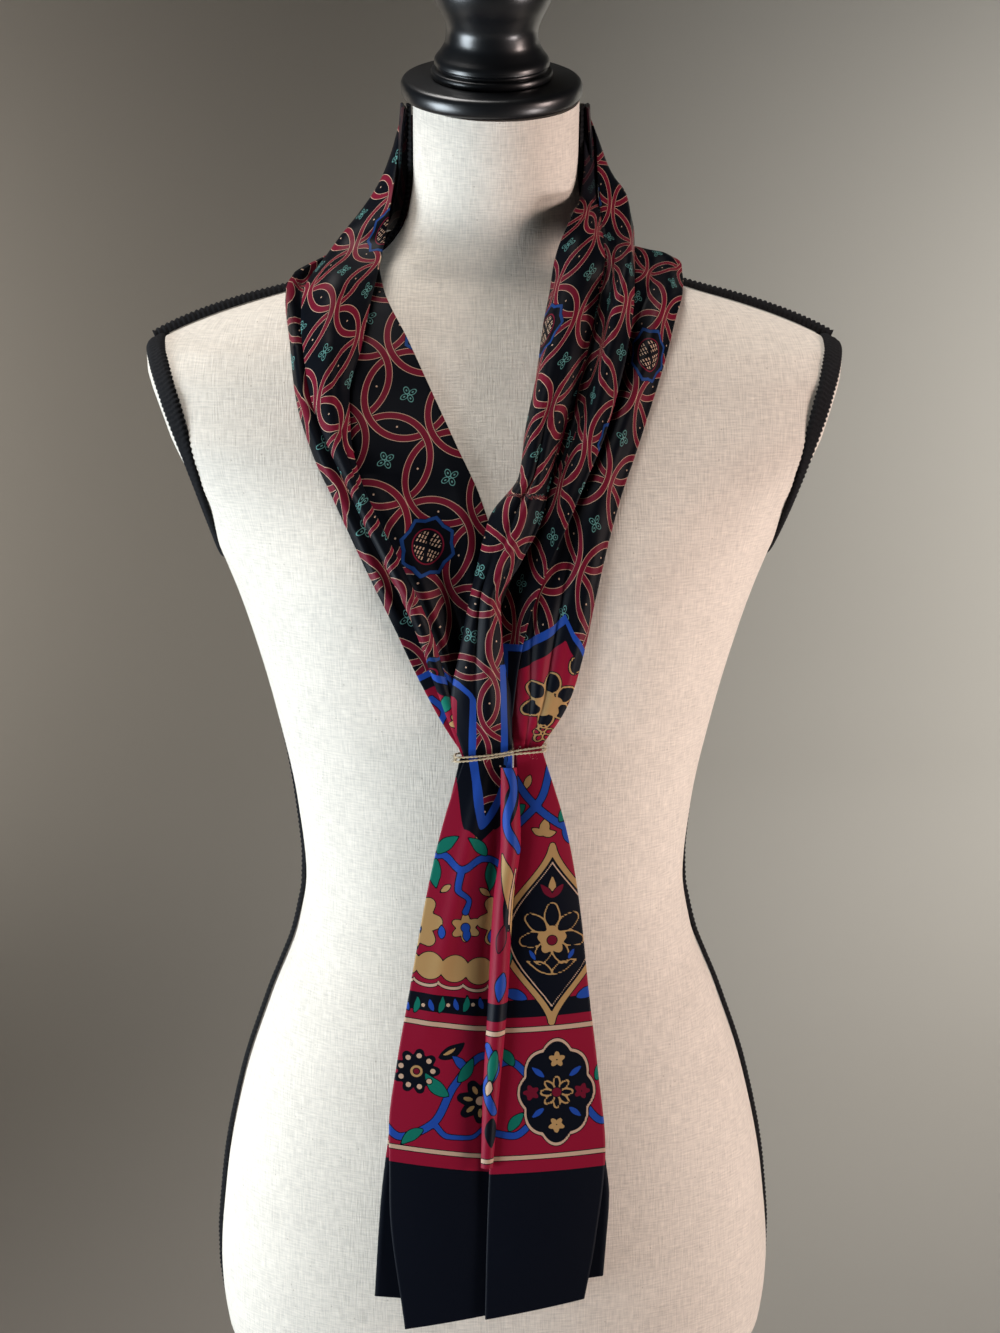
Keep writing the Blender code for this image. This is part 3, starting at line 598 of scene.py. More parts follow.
def grid_object(name, points, finish, close_across=False, close_along=False, caps=False):
    """Surface through a grid of points, rows along and columns across."""
    rows, columns = points.shape[:2]
    index = np.arange(rows * columns).reshape(rows, columns)
    if close_across:
        index = np.concatenate([index, index[:, :1]], 1)
    if close_along:
        index = np.concatenate([index, index[:1]], 0)
    quads = np.stack([index[:-1, :-1], index[:-1, 1:], index[1:, 1:], index[1:, :-1]], -1)
    faces = quads.reshape(-1, 4).tolist()
    if caps:
        faces += [index[0, :columns][::-1].tolist(), index[-1, :columns].tolist()]
    return surface(name, points, faces, finish)


def store(made, name, values):
    """Values kept at every corner point of a mesh for its material: one or three numbers."""
    values = np.asarray(values, np.float32)
    kind, part = ("FLOAT", "value") if values.ndim == 1 else ("FLOAT_VECTOR", "vector")
    made.data.attributes.new(name, kind, "POINT").data.foreach_set(part, values.ravel())


def shown(made, node):
    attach(made, "root")
    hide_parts(node)
    return made


# ---------------------------------------------------------------- linen cover


def linen_material():
    """Bleached linen canvas, plain weave: slubby matt threads, a few dark flecks."""
    made, tree, shader = new_material("linen canvas")
    at = add(tree, "ShaderNodeAttribute", {"attribute_name": "cloth_at"}).outputs["Vector"]
    # Threads are 0.55 mm apart; they are drawn up to 1 mm apart so that they show, with long slubs.
    slubs = []
    for slub in ((1.2, 0.10, 1), (0.12, 1.1, 1)):
        thread = add(tree, "ShaderNodeMapping", _0=at, Scale=slub).outputs[0]
        noise = add(tree, "ShaderNodeTexNoise", Vector=thread, Scale=1.0, Detail=2.0)
        slubs.append(Term(noise.outputs[0]))
    threads = slubs[0] + slubs[1]
    mottle = add(tree, "ShaderNodeTexNoise", Vector=at, Scale=0.03, Detail=3.0).outputs[0]
    tone = threads * 0.5 + 0.5 + (Term(mottle) - 0.5) * 0.16
    grey = add(tree, "ShaderNodeCombineColor", _0=tone, _1=tone, _2=tone).outputs[0]
    multiply = {"data_type": "RGBA", "blend_type": "MULTIPLY"}
    toned = add(tree, "ShaderNodeMix", multiply, _0=1.0, _6=LINEN, _7=grey).outputs[2]
    flecks = Term(add(tree, "ShaderNodeTexVoronoi", Vector=at, Scale=0.11).outputs[0]) < 0.055
    bump = add(tree, "ShaderNodeBump", Height=threads, Strength=0.5, Distance=0.0005).outputs[0]
    colour = painted(toned, flecks * 0.35, LINEN_FLECK)
    feed(shader, Base_Color=colour, Roughness=0.9, Sheen_Weight=0.15, Normal=bump)
    return made


# Points round the front or the back of a section, and across an arm plate.
FRONT_POINTS = 61
PLATE_POINTS = 9
# Levels of the cover: from one height to the next, and into how many steps it is divided.
COVER_LEVELS = ((655, 667, 6), (667, 1165, 119), (1165, 1340, 109), (1340, 1407.7, 29))


def torso_ring(height):
    """Section of the form: front arc, side with its flat or arm plate, back arc, side."""
    half, front, back, centre, square, lean = form_level(height)
    edge = half * (1 - (0.5 * SEAM_FLAT / front) ** square) ** (1 / square)
    if height > ARM_PLATE[0][0]:
        edge = min(edge, from_table(height, ARM_PLATE))
    corner = math.asin(min(1, edge / half) ** (square / 2))
    turns = np.linspace(-corner, corner, FRONT_POINTS)
    x = half * np.sign(turns) * np.abs(np.sin(turns)) ** (2 / square)
    deep = np.abs(np.cos(turns)) ** (2 / square)
    before = np.stack([x, -front * deep - bust(x, height) * np.cos(turns)], -1)
    behind = np.stack([x, back * deep], -1)
    sides = []
    for start, end, side in ((before[-1], behind[-1], 1), (behind[0], before[0], -1)):
        share = np.linspace(0, 1, PLATE_POINTS + 2)[1:-1, None]
        dome = ARM_PLATE_DOME * min(1, abs(end[1] - start[1]) / 90) ** 2
        sides.append(start + (end - start) * share + 4 * share * (1 - share) * (side * dome, 0))
    x, y = np.concatenate([before, sides[0], behind[::-1], sides[1]]).T
    return np.stack([x, y + centre, height + y * math.tan(math.radians(lean))], -1)


def make_cover():
    levels = [np.linspace(low, top, steps, endpoint=False) for low, top, steps in COVER_LEVELS]
    heights = np.concatenate([*levels, [COVER_LEVELS[-1][1]]])
    rings = np.array([torso_ring(z) for z in heights])
    cover = grid_object("linen_canvas", rings, linen_material(), close_across=True, caps=True)
    across = run_along(rings.swapaxes(0, 1)).T
    across -= across[:, FRONT_POINTS // 2, None]
    up = heights[:, None] + 0 * across
    store(cover, "cloth_at", np.stack([across, up, 0 * up], -1).reshape(-1, 3))
    shown(cover, "form_torso")


# ---------------------------------------------------------------- knitted braid


def braid_material():
    """Black knitted cotton braid: matt and fuzzy, ribbed across; the fuzz's lighter tone also paints the
    knit's highlights.
    """
    name = "knitted black braid"
    finish = {"Roughness": 0.95, "Specular_IOR_Level": 0.2}
    return fibre_material(name, BRAID_BLACK, BRAID_LINT_AND_HIGHLIGHT, 900.0, 0.5, 0.0006, **finish)


def surface_normals(points):
    """Outward normals along a path on the form, from the surface round each point."""
    x, y, height = np.transpose(points)
    centre = form_level(height)[:, 3]
    turn = np.degrees(np.arctan2(x, centre - y))
    up = form_round(turn, height + 1, 0.0) - form_round(turn, height - 1, 0.0)
    on = form_round(turn + 1, height, 0.0) - form_round(turn - 1, height, 0.0)
    normals = unit(np.cross(on, up))
    away = form_round(turn, height, 0.0) - np.column_stack([0 * x, centre, height])
    return normals * np.sign(np.sum(normals * away, 1))[:, None]


# Length of a rib, and its height and its scallop's depth as shares of the braid's own sizes.
RIB = 3.0
RIB_RELIEF = 0.12
SCALLOP = 0.09
RIDGE_LEVELS = (1404, 1386, 1366, 1348, 1332, 1320, 1311, 1303, 1295, 1287, 1280, 1275)
# How far inside its plate's edge the armhole braid lies at the armhole's foot and at its centre.
ARMHOLE_INSET = (-0.5, 5.2)
# Half of the braid's section: place across (0 to 0.5) and height (0 to 1).
BRAID_SECTION = ((0, 0.9), (0.2, 0.95), (0.38, 0.8), (0.48, 0.45), (0.5, 0))


def braid(part, path, width, thickness, finish, closed=False):
    """Knitted braid along a path on the form: ribs across it and a scalloped edge."""
    even = np.ones(len(path))
    rows = np.column_stack([path, surface_normals(path), width * even, thickness * even])
    if closed:
        rows = np.vstack([rows, rows[:1]])
    places = run_along(rows[:, :3])
    ribs = round(places[-1] / RIB)
    fine = np.linspace(0, places[-1], ribs * 5 + 1)
    rows = smooth(places, rows, fine)
    along = np.gradient(rows[:, :3], axis=0)
    if closed:
        rows, fine = rows[:-1], fine[:-1]
        along = np.roll(rows[:, :3], -1, axis=0) - np.roll(rows[:, :3], 1, axis=0)
    points, normals = rows[:, :3], rows[:, 3:6]
    across = unit(np.cross(normals, along))
    turn = fine * 2 * math.pi / (places[-1] / ribs)
    rings = []
    for share, rise in [(-s, r) for s, r in BRAID_SECTION[:0:-1]] + [*BRAID_SECTION]:
        rib = 1 + RIB_RELIEF * np.sin(turn + abs(share) * 7)
        reach = rows[:, 6] * (1 + SCALLOP * np.sin(turn + math.pi * (share > 0))) + 0.4
        lift = GAP + 0.5 + rise * (rows[:, 7] + 0.3) * rib
        rings.append(points + across * (share * reach)[:, None] + normals * lift[:, None])
    made = grid_object("knitted_" + part, np.stack(rings, 1), finish, True, closed, not closed)
    shown(made, "braid_" + part)


def eased(values):
    """Values round a closed loop without their short waves."""
    waves = np.fft.rfft(values)
    waves[4:6] *= 0.35
    waves[6:] = 0
    return np.fft.irfft(waves, len(values))


def armhole_path(side):
    """Closed path round an armhole, just inside the edge of its arm plate."""
    turns = np.linspace(0, 2 * math.pi, 56, endpoint=False)

    def armhole(reaches):
        y, z = reaches * np.cos(turns), ARMHOLE_CENTRE + reaches * np.sin(turns)
        half, front, back, _, square, _ = form_level(z).T
        share = (np.abs(y) / np.where(y < 0, front, back)) ** square
        return y, z, half, square, share

    near, far = 0 * turns, 0 * turns + 90
    for _ in range(30):
        reaches = (near + far) / 2
        y, z, half, square, share = armhole(reaches)
        inset = np.interp(z, (ARMHOLE_FOOT, ARMHOLE_CENTRE), ARMHOLE_INSET)
        inside = ((from_table(z, ARM_PLATE) - inset) / half) ** square + share < 1
        near, far = np.where(inside, reaches, near), np.where(inside, far, reaches)
    # The carved edge is drawn out to a smooth egg shape, as sewn braid lies.
    y, z, half, square, share = armhole(eased(reaches))
    body = half * (1 - share) ** (1 / square)
    x = eased(np.minimum(from_table(z, ARM_PLATE), body)) - ARMHOLE_BRAID_SUNK
    return np.column_stack([side * x, y, z])


def make_braids():
    finish = braid_material()
    ridge_z = np.array(RIDGE_LEVELS)
    seam_z = np.linspace(SIDE_SEAM[-1][0], SIDE_SEAM[0][0], 30)
    for side, label in ((-1, "right"), (1, "left")):
        level = form_level(ridge_z)
        ridge = np.column_stack([side * level[:, 0], level[:, 3], ridge_z])
        full = from_table(ridge_z, RIDGE_BRAID_FULL)
        braid("shoulder_" + label, ridge, RIDGE_BRAID_WIDTH, full, finish)
        hole = armhole_path(side)
        wide = from_table(hole[:, 2], ARMHOLE_BRAID_WIDE)
        braid("armhole_" + label, hole, wide, BRAID_THICKNESS, finish, closed=True)
        half, _, back, centre, square, _ = form_level(seam_z).T
        behind = from_table(seam_z, SIDE_SEAM)
        edge = half * (1 - (behind / back) ** square) ** (1 / square)
        seam = np.column_stack([side * edge, centre + behind, seam_z])
        braid("side_" + label, seam, RIDGE_BRAID_WIDTH, BRAID_THICKNESS, finish)


# ---------------------------------------------------------------- cap and stand


def paint_material(name, colour, roughness, coat):
    """Turned wood or steel under black paint: smooth, with a soft gloss and faint specks."""
    made, tree, shader = new_material(name)
    at = add(tree, "ShaderNodeTexCoord").outputs["Object"]
    cloudy = add(tree, "ShaderNodeTexNoise", Vector=at, Scale=60.0, Detail=4.0).outputs[0]
    rough = Term(cloudy) * 0.14 + (roughness - 0.07)
    bump = add(tree, "ShaderNodeBump", Height=cloudy, Strength=0.06, Distance=0.001).outputs[0]
    feed(shader, Base_Color=colour, Roughness=rough, Normal=bump)
    feed(shader, Coat_Weight=coat, Coat_Roughness=0.25)
    return made


def turned(name, profile, place, lean, finish, node, steps=96):
    """Turned piece from its profile (radius, height), with its corners rounded over."""
    mesh = bpy.data.meshes.new(name)
    points = [(radius * MM, 0, height * MM) for radius, height in profile]
    mesh.from_pydata(points, [(k, k + 1) for k in range(len(points) - 1)], [])
    made = placed(name, mesh, finish)
    made.location = Vector(place) * MM
    made.rotation_euler = (math.radians(lean), 0, 0)
    screw = made.modifiers.new("turn", "SCREW")
    screw.steps = screw.render_steps = steps
    screw.use_merge_vertices = screw.use_smooth_shade = True
    screw.merge_threshold = 0.0001
    bevel = made.modifiers.new("eased", "BEVEL")
    bevel.width = 0.0012
    bevel.segments = 3
    bevel.limit_method = "ANGLE"
    bevel.angle_limit = math.radians(25)
    shown(made, node)


def rounded(profile, steps=4):
    """A turned profile drawn finer, through the same points."""
    along = run_along(profile)
    count = (len(along) - 1) * steps + 1
    fine = np.interp(np.linspace(0, len(along) - 1, count), np.arange(len(along)), along)
    return smooth(along, profile, fine)


def make_cap():
    finish = paint_material("black painted wood", CAP_BLACK, 0.32, 0.3)
    cap = (
        (0, CAP_THICKNESS), (CAP_RADIUS - 3.5, CAP_THICKNESS), (CAP_RADIUS - 1, CAP_THICKNESS - 1),
        (CAP_RADIUS, CAP_THICKNESS - 3.5), (CAP_RADIUS, 3), (CAP_RADIUS - 1, 0.8),
        (CAP_RADIUS - 3, 0), (0, 0),
    )
    turned("turned_cap", cap, CAP_CENTRE, CAP_LEAN, finish, "neck_cap")
    lean = math.radians(CAP_LEAN)
    seat = Vector(CAP_CENTRE) + Vector((0, -math.sin(lean), math.cos(lean))) * CAP_THICKNESS
    turned("turned_finial", rounded(FINIAL), seat, CAP_LEAN, finish, "finial")


def make_stand():
    finish = paint_material("satin black paint", CAP_BLACK, 0.38, 0.1)
    foot = FORM[0][0]
    socket = (
        (0, 0), (SOCKET_RADIUS, 0), (SOCKET_RADIUS, -3),
        (SOCKET_RADIUS - 10, -SOCKET_HEIGHT), (0, -SOCKET_HEIGHT),
    )
    turned("turned_socket", socket, (0, 0, foot - GAP), 0, finish, "pole_socket")
    top = foot - 2 * GAP - SOCKET_HEIGHT
    bottom = STAND_THICKNESS + GAP
    pole = ((0, top), (POLE_RADIUS, top), (POLE_RADIUS, bottom), (0, bottom))
    turned("round_pole", pole, (0, 0, 0), 0, finish, "pole", 48)
    stand = (
        (0, STAND_THICKNESS), (30, STAND_THICKNESS), (60, STAND_THICKNESS - 4),
        (150, STAND_THICKNESS - 9), (STAND_RADIUS - 5, 9), (STAND_RADIUS - 1, 6),
        (STAND_RADIUS, 3), (STAND_RADIUS - 1, 0), (0, 0),
    )
    turned("round_base", stand, (0, 0, 0), 0, finish, "stand_base", 128)


# ---------------------------------------------------------------- printed silk

# Thickness of the folded silk, and how far off its table's surface it starts, in mm.
WALL = 1.0
LIFT = 0.1
# The border's printed colours, from the lowest up, by the name of the layer that holds them.
BORDER_LAYERS = {
    "shade": BORDER_BLACK, "gold": GOLD, "blue": BLUE, "teal": TEAL, "cream": CREAM, "red": CRIMSON,
}
# Widths of the black outline and of the blue and black lines along the border's edge.
OUTLINE = 0.5
EDGE_BLUE = 3.8
EDGE_BLACK = 6.5
# Ornament between the bands, in cells of the lattice: dots, petals, the star's and ring's lines.
DIAGONAL = 0.7071
DOT = 0.014
PETAL_OUT = 0.07
PETAL_LONG = 0.056
PETAL_WIDE = 0.037
STAR_EDGE = 0.37
STAR_LINE = 0.34
RING_LINE = 0.245
DASHES_END = 0.215
DASH_GAP = 0.03


def layered(colour, *prints):
    """The colour under prints, each a mask and its colour, laid over it in turn."""
    for mask, tone in prints:
        colour = painted(colour, mask, tone)
    return colour


def silk_material(name):
    """Screen-printed silk twill: deep colours, a soft low sheen, fine slanting ribs."""
    made, tree, shader = new_material(name)
    held = {
        layer: add(tree, "ShaderNodeAttribute", {"attribute_name": layer}).outputs
        for layer in ("lattice", "cloth_at", "reverse_and_painted_shade", "border", "stripe", *BORDER_LAYERS)
    }
    inside = {layer: Term(outputs["Fac"]) for layer, outputs in held.items()}
    parts = add(tree, "ShaderNodeSeparateXYZ", Vector=held["lattice"]["Vector"]).outputs
    a, b = Term(parts[0]), Term(parts[1])
    fx, fy = a.fraction() - 0.5, b.fraction() - 0.5
    gx, gy = abs(fx), abs(fy)
    # Interlaced rings, their bands passing over and under each other.
    circle = 0.5**0.5 - BAND_WIDTH / 2
    own = abs(distance(gx, gy) - circle).least(abs(distance(gx - 1, gy - 1) - circle))
    other = abs(distance(gx - 1, gy) - circle).least(abs(distance(gx, gy - 1) - circle))
    same = fx * fy > 0
    over, under = chosen(same, other, own), chosen(same, own, other)
    dots = distance(abs(gx - 0.5), gy).least(distance(gx, abs(gy - 0.5))) < DOT
    p, q = abs(fx + fy) * DIAGONAL, abs(fx - fy) * DIAGONAL
    petal = distance((p - PETAL_OUT) / PETAL_LONG, q / PETAL_WIDE)
    petal = petal.least(distance(p / PETAL_WIDE, (q - PETAL_OUT) / PETAL_LONG))
    colour = layered(GROUND, (dots, CREAM), (abs(petal - 1) < 0.12, MINT), (petal < 0.3, MINT))
    for band in (under, over):
        for half, tone in ((BAND_LINE, GROUND), (0, CREAM), (-BAND_LINE, CRIMSON)):
            colour = painted(colour, band < BAND_WIDTH / 2 + half, tone)
    # Star medallions, with rows of dashes in a ring.
    cell = (a.floor() + b.floor() * 3).does("FLOORED_MODULO", MEDALLION_EVERY)
    here = abs(cell - MEDALLION_AT) < 0.5
    middle = distance(gx, gy)
    star = gx.most(gy).least((gx + gy) * DIAGONAL) * 0.6 + middle * 0.4
    dash = (((fx + fy * 0.3) * 19).fraction() < 0.42) * ((gy * 15).fraction() > 0.3)
    dash = dash * (gx > DASH_GAP) * (gy > DASH_GAP) * (middle < DASHES_END)
    colour = layered(
        colour, (here * (star < STAR_EDGE), GROUND),
        (here * (abs(star - STAR_LINE) < 0.022), MEDALLION_BLUE),
        (here * (abs(middle - RING_LINE) < 0.01), CRIMSON), (here * dash, CREAM),
    )
    border = painted(BORDER_RED, inside["stripe"] > 0, BORDER_BLACK)
    for layer, tone in BORDER_LAYERS.items():
        border = layered(border, (inside[layer] > -OUTLINE, BORDER_BLACK), (inside[layer] > 0, tone))
    edge = inside["border"]
    border = painted(border, edge < EDGE_BLACK, BORDER_BLACK)
    # Last the dark reverse colour: on the inner side, and as painted shade on the marked parts of the face.
    colour = layered(
        colour, (edge > 0, border), ((edge > -EDGE_BLUE) * (edge < 0), BLUE),
        (inside["reverse_and_painted_shade"] * 0.85, REVERSE_AND_PAINTED_SHADE),
    )
    # Twill ribs are 0.3 mm apart; they are drawn 0.7 mm apart so that they show.
    slant = add(tree, "ShaderNodeMapping", _0=held["cloth_at"]["Vector"], Rotation=(0, 0, 0.785))
    rib = {"Vector": slant.outputs[0], "Scale": 0.45, "Distortion": 0.6}
    ribs = add(tree, "ShaderNodeTexWave", **rib).outputs[1]
    bump = add(tree, "ShaderNodeBump", Height=ribs, Strength=0.12, Distance=0.0002).outputs[0]
    feed(shader, Base_Color=colour, Roughness=0.46, Specular_IOR_Level=0.08, Normal=bump)
    return made


def fold_relief(folds, across, along):
    """Height of the folds over the plain silk at (across, along), each 0 to 1."""
    relief = 0 * (across + along)
    for first, last, height, half_width, start, end in folds:
        share = np.clip((along - start) / (end - start), 0, 1)
        middle = first + (last - first) * share
        swell = np.sin(np.pi * share) ** 0.7
        relief += height * swell * np.exp(-(((across - middle) / half_width) ** 2))
    return relief


def grid_normals(points, away_from):
    """Unit normals of a grid of points, turned away from the given points."""
    normals = unit(np.cross(np.gradient(points, axis=0), np.gradient(points, axis=1)))
    return normals * np.sign(np.sum(normals * (points - away_from)))


def silk_sheet(rows, folds, place, stations, columns):
    """Points of a stretch of silk on its inner side, and its normals away from the form."""
    table = np.asarray(rows, float)
    places = run_along([place(*(0.5 * (row[0:3] + row[3:6]))) for row in table])
    along = np.linspace(0, 1, stations)
    across = np.linspace(0, 1, columns)
    sections = smooth(places / places[-1], table, along)[:, None]
    first, second = sections[..., 0:3], sections[..., 3:6]
    points = place(*np.moveaxis(first + (second - first) * across[:, None], -1, 0))
    core = points * (0.3, 0, 1)
    crown = sections[..., 6] * 4 * across * (1 - across)
    lift = crown + fold_relief(folds, across, along[:, None])
    points = points + grid_normals(points, core) * lift[..., None]
    return points, grid_normals(points, core)


def before_form(x, height, stand_off):
    return np.stack([x, form_front(x, height) - stand_off, height], -1)


def hanging(x, height, y):
    return np.stack([x, y, height], -1)


def cloth_across(points, round_neck):
    """Where each point lies on the cloth laid flat: across and up it, in mm."""
    if round_neck:
        down = run_along(points.swapaxes(0, 1)).T
        return run_along(points).mean(1)[:, None] + 0 * down, -down
    middle = points.shape[1] // 2
    step = np.diff(points, axis=1)
    run = np.hypot(step[..., 0], step[..., 1]) * np.sign(step[..., 0])
    across = np.concatenate([0 * run[:, :1], np.cumsum(run, 1)], 1)
    across += points[:, middle, None, 0] - across[:, middle, None]
    up = -run_along(points[:, middle, 1:])
    up += points[-1, middle, 2] - up[-1]
    return across, up[:, None] + points[..., 2] - points[:, middle, None, 2]


def lattice_place(name, across, up):
    """Place on the print's lattice, in cells, of cloth at (across, up)."""
    x, z, ax, az, bx, bz, number = LATTICES.get(name, LATTICES["tails"])
    size = ax * bz - bx * az
    dx, dz = across - x, up - z
    return (dx * bz - dz * bx) / size + number, (dz * ax - dx * az) / size


def silk(name, rows, folds, place, flat, finish, fine):
    """One stretch of the cravat: a thin shell of printed silk with rolled edges."""
    stations, columns = int(flat[1] // fine), max(10, int(flat[0] // fine))
    points, normals = silk_sheet(rows, folds, place, stations, columns)
    low, middle, high = [points + normals * (LIFT + off) for off in (0, WALL / 2, WALL)]
    edge_a = middle[:, :1] + unit(points[:, :1] - points[:, 1:2]) * WALL / 2
    edge_b = middle[:, -1:] + unit(points[:, -1:] - points[:, -2:-1]) * WALL / 2
    grid = np.concatenate([high, edge_b, low[:, ::-1], edge_a], 1)
    made = grid_object("silk_" + name, grid, finish, close_across=True, caps=True)
    # Where the dark reverse colour goes: the inner side of the shell, and, as painted shade, the parts of
    # the printed face marked below.
    reverse_and_painted_shade = np.zeros_like(grid[..., 0])
    reverse_and_painted_shade[:, columns + 1 : 2 * columns + 1] = 1
    # Painted shade: the top of the left band and the front ends of the neck band take the dark reverse
    # colour.
    if name == "left_band":
        reverse_and_painted_shade[grid[..., 2] > LEFT_BAND_SHADE_ABOVE] = 1
    if name == "neck_band":
        reverse_and_painted_shade[grid[..., 1] < NECK_BAND_SHADE_BEFORE] = 1
    store(made, "reverse_and_painted_shade", reverse_and_painted_shade.ravel())
    across, up = cloth_across(points, place is form_round)
    cell = lattice_place(name, across, up)
    if name == "left_band":
        cell = np.where(up < LEFT_BAND_TURN, lattice_place("left_band_low", across, up), cell)
    # Column of the cloth that each point round the shell lies over.
    column = np.arange(columns)
    around = np.concatenate([column, column[-1:], column[::-1], column[:1]])
    for layer, parts in (("lattice", cell), ("cloth_at", (across, up))):
        parts = [values[:, around].ravel() for values in (*parts, 0 * up)]
        store(made, layer, np.stack(parts, -1))
    ink = Ink(across, up)
    if name in PRINTS:
        PRINTS[name](ink)
    for layer, values in ink.layers.items():
        store(made, layer, values[:, around].ravel())
    shown(made, name)


# ---------------------------------------------------------------- border print

# What a layer holds away from all its shapes, and the step between a stroke's dabs, in mm.
FAR = -60.0
BRUSH_STEP = 0.8
# Leaf: place along it (0 to 1) and its half width there (0 to 1). Petal: its half width at its
# root, middle and tip.
LEAF = ((0, 0.15), (0.2, 0.7), (0.45, 1), (0.75, 0.6), (1, 0.05))
PETAL = (0.5, 1, 0.7)


class Ink:
    """The border's printed shapes on a stretch of cloth: one layer for each colour. A layer
    holds how far inside its shapes every point lies, in mm; outside is negative."""

    def __init__(self, across, up):
        self.across = across
        self.up = up
        names = (*BORDER_LAYERS, "border", "stripe")
        self.layers = {layer: np.full_like(across, FAR) for layer in names}

    def lay(self, layer, inside, line=None):
        """Adds a shape to a layer, or only its outline of the given half width."""
        if line:
            inside = line - np.abs(inside)
        self.layers[layer] = np.maximum(self.layers[layer], inside)

    def stroke(self, layer, *rows, line=None):
        """A brush stroke through rows of x, z and half width; a single row is a dot."""
        rows = np.asarray(rows, float)
        if len(rows) > 1:
            steps = np.hypot(*np.diff(rows[:, :2], axis=0).T)
            places = np.concatenate([[0], np.cumsum(steps)])
            count = int(places[-1] / BRUSH_STEP) + 2
            rows = smooth(places, rows, np.linspace(0, places[-1], count))
        inside = np.full_like(self.across, FAR)
        for x, z, half in rows:
            inside = np.maximum(inside, half - np.hypot(self.across - x, self.up - z))
        self.lay(layer, inside, line)

    def leaf(self, layer, x, z, turn, length, half, bend=0, line=None):
        """A pointed leaf from its stalk end at x, z, bent sideways at its tip."""
        ahead = np.array([math.cos(math.radians(turn)), math.sin(math.radians(turn))])
        side = np.array([-ahead[1], ahead[0]])
        rows = []
        for share, wide in LEAF:
            spot = np.array([x, z]) + ahead * length * share + side * bend * share**2
            rows.append((*spot, half * wide))
        self.stroke(layer, *rows, line=line)

    def leaves(self, *rows):
        for row in rows:
            self.leaf(*row)

    def petals(self, layer, x, z, count, near, far, half, turn=0, line=None):
        for k in range(count):
            angle = math.radians(turn + 360 * k / count)
            rows = []
            for out, wide in zip((near, (near + far) / 2, far), PETAL):
                rows.append((x + out * math.cos(angle), z + out * math.sin(angle), half * wide))
            self.stroke(layer, *rows, line=line)

    def flower(self, x, z, *rings):
        """A flower at x, z: each ring is a ring of petals, or with a half width alone, a dot."""
        for layer, *ring in rings:
            if len(ring) > 1:
                self.petals(layer, x, z, *ring)
            else:
                self.stroke(layer, (x, z, *ring))


def stripes(ink, tilt, pivot):
    """The straight stripes across a tail: black end, two cream lines, a black band."""
    level = ink.up + tilt * (ink.across - pivot)
    ink.layers["stripe"] = np.maximum(822 - level, 5 - np.abs(level - 917))
    ink.lay("cream", 1.3 - np.abs(level - 905))
    ink.lay("cream", 1.2 - np.abs(level - 831))
    return level


# Slant of the stripes across each tail, and the spacing of the right tail's scallops.
RIGHT_TILT = 0.13
LEFT_TILT = -0.05
SCALLOPS = 13.5


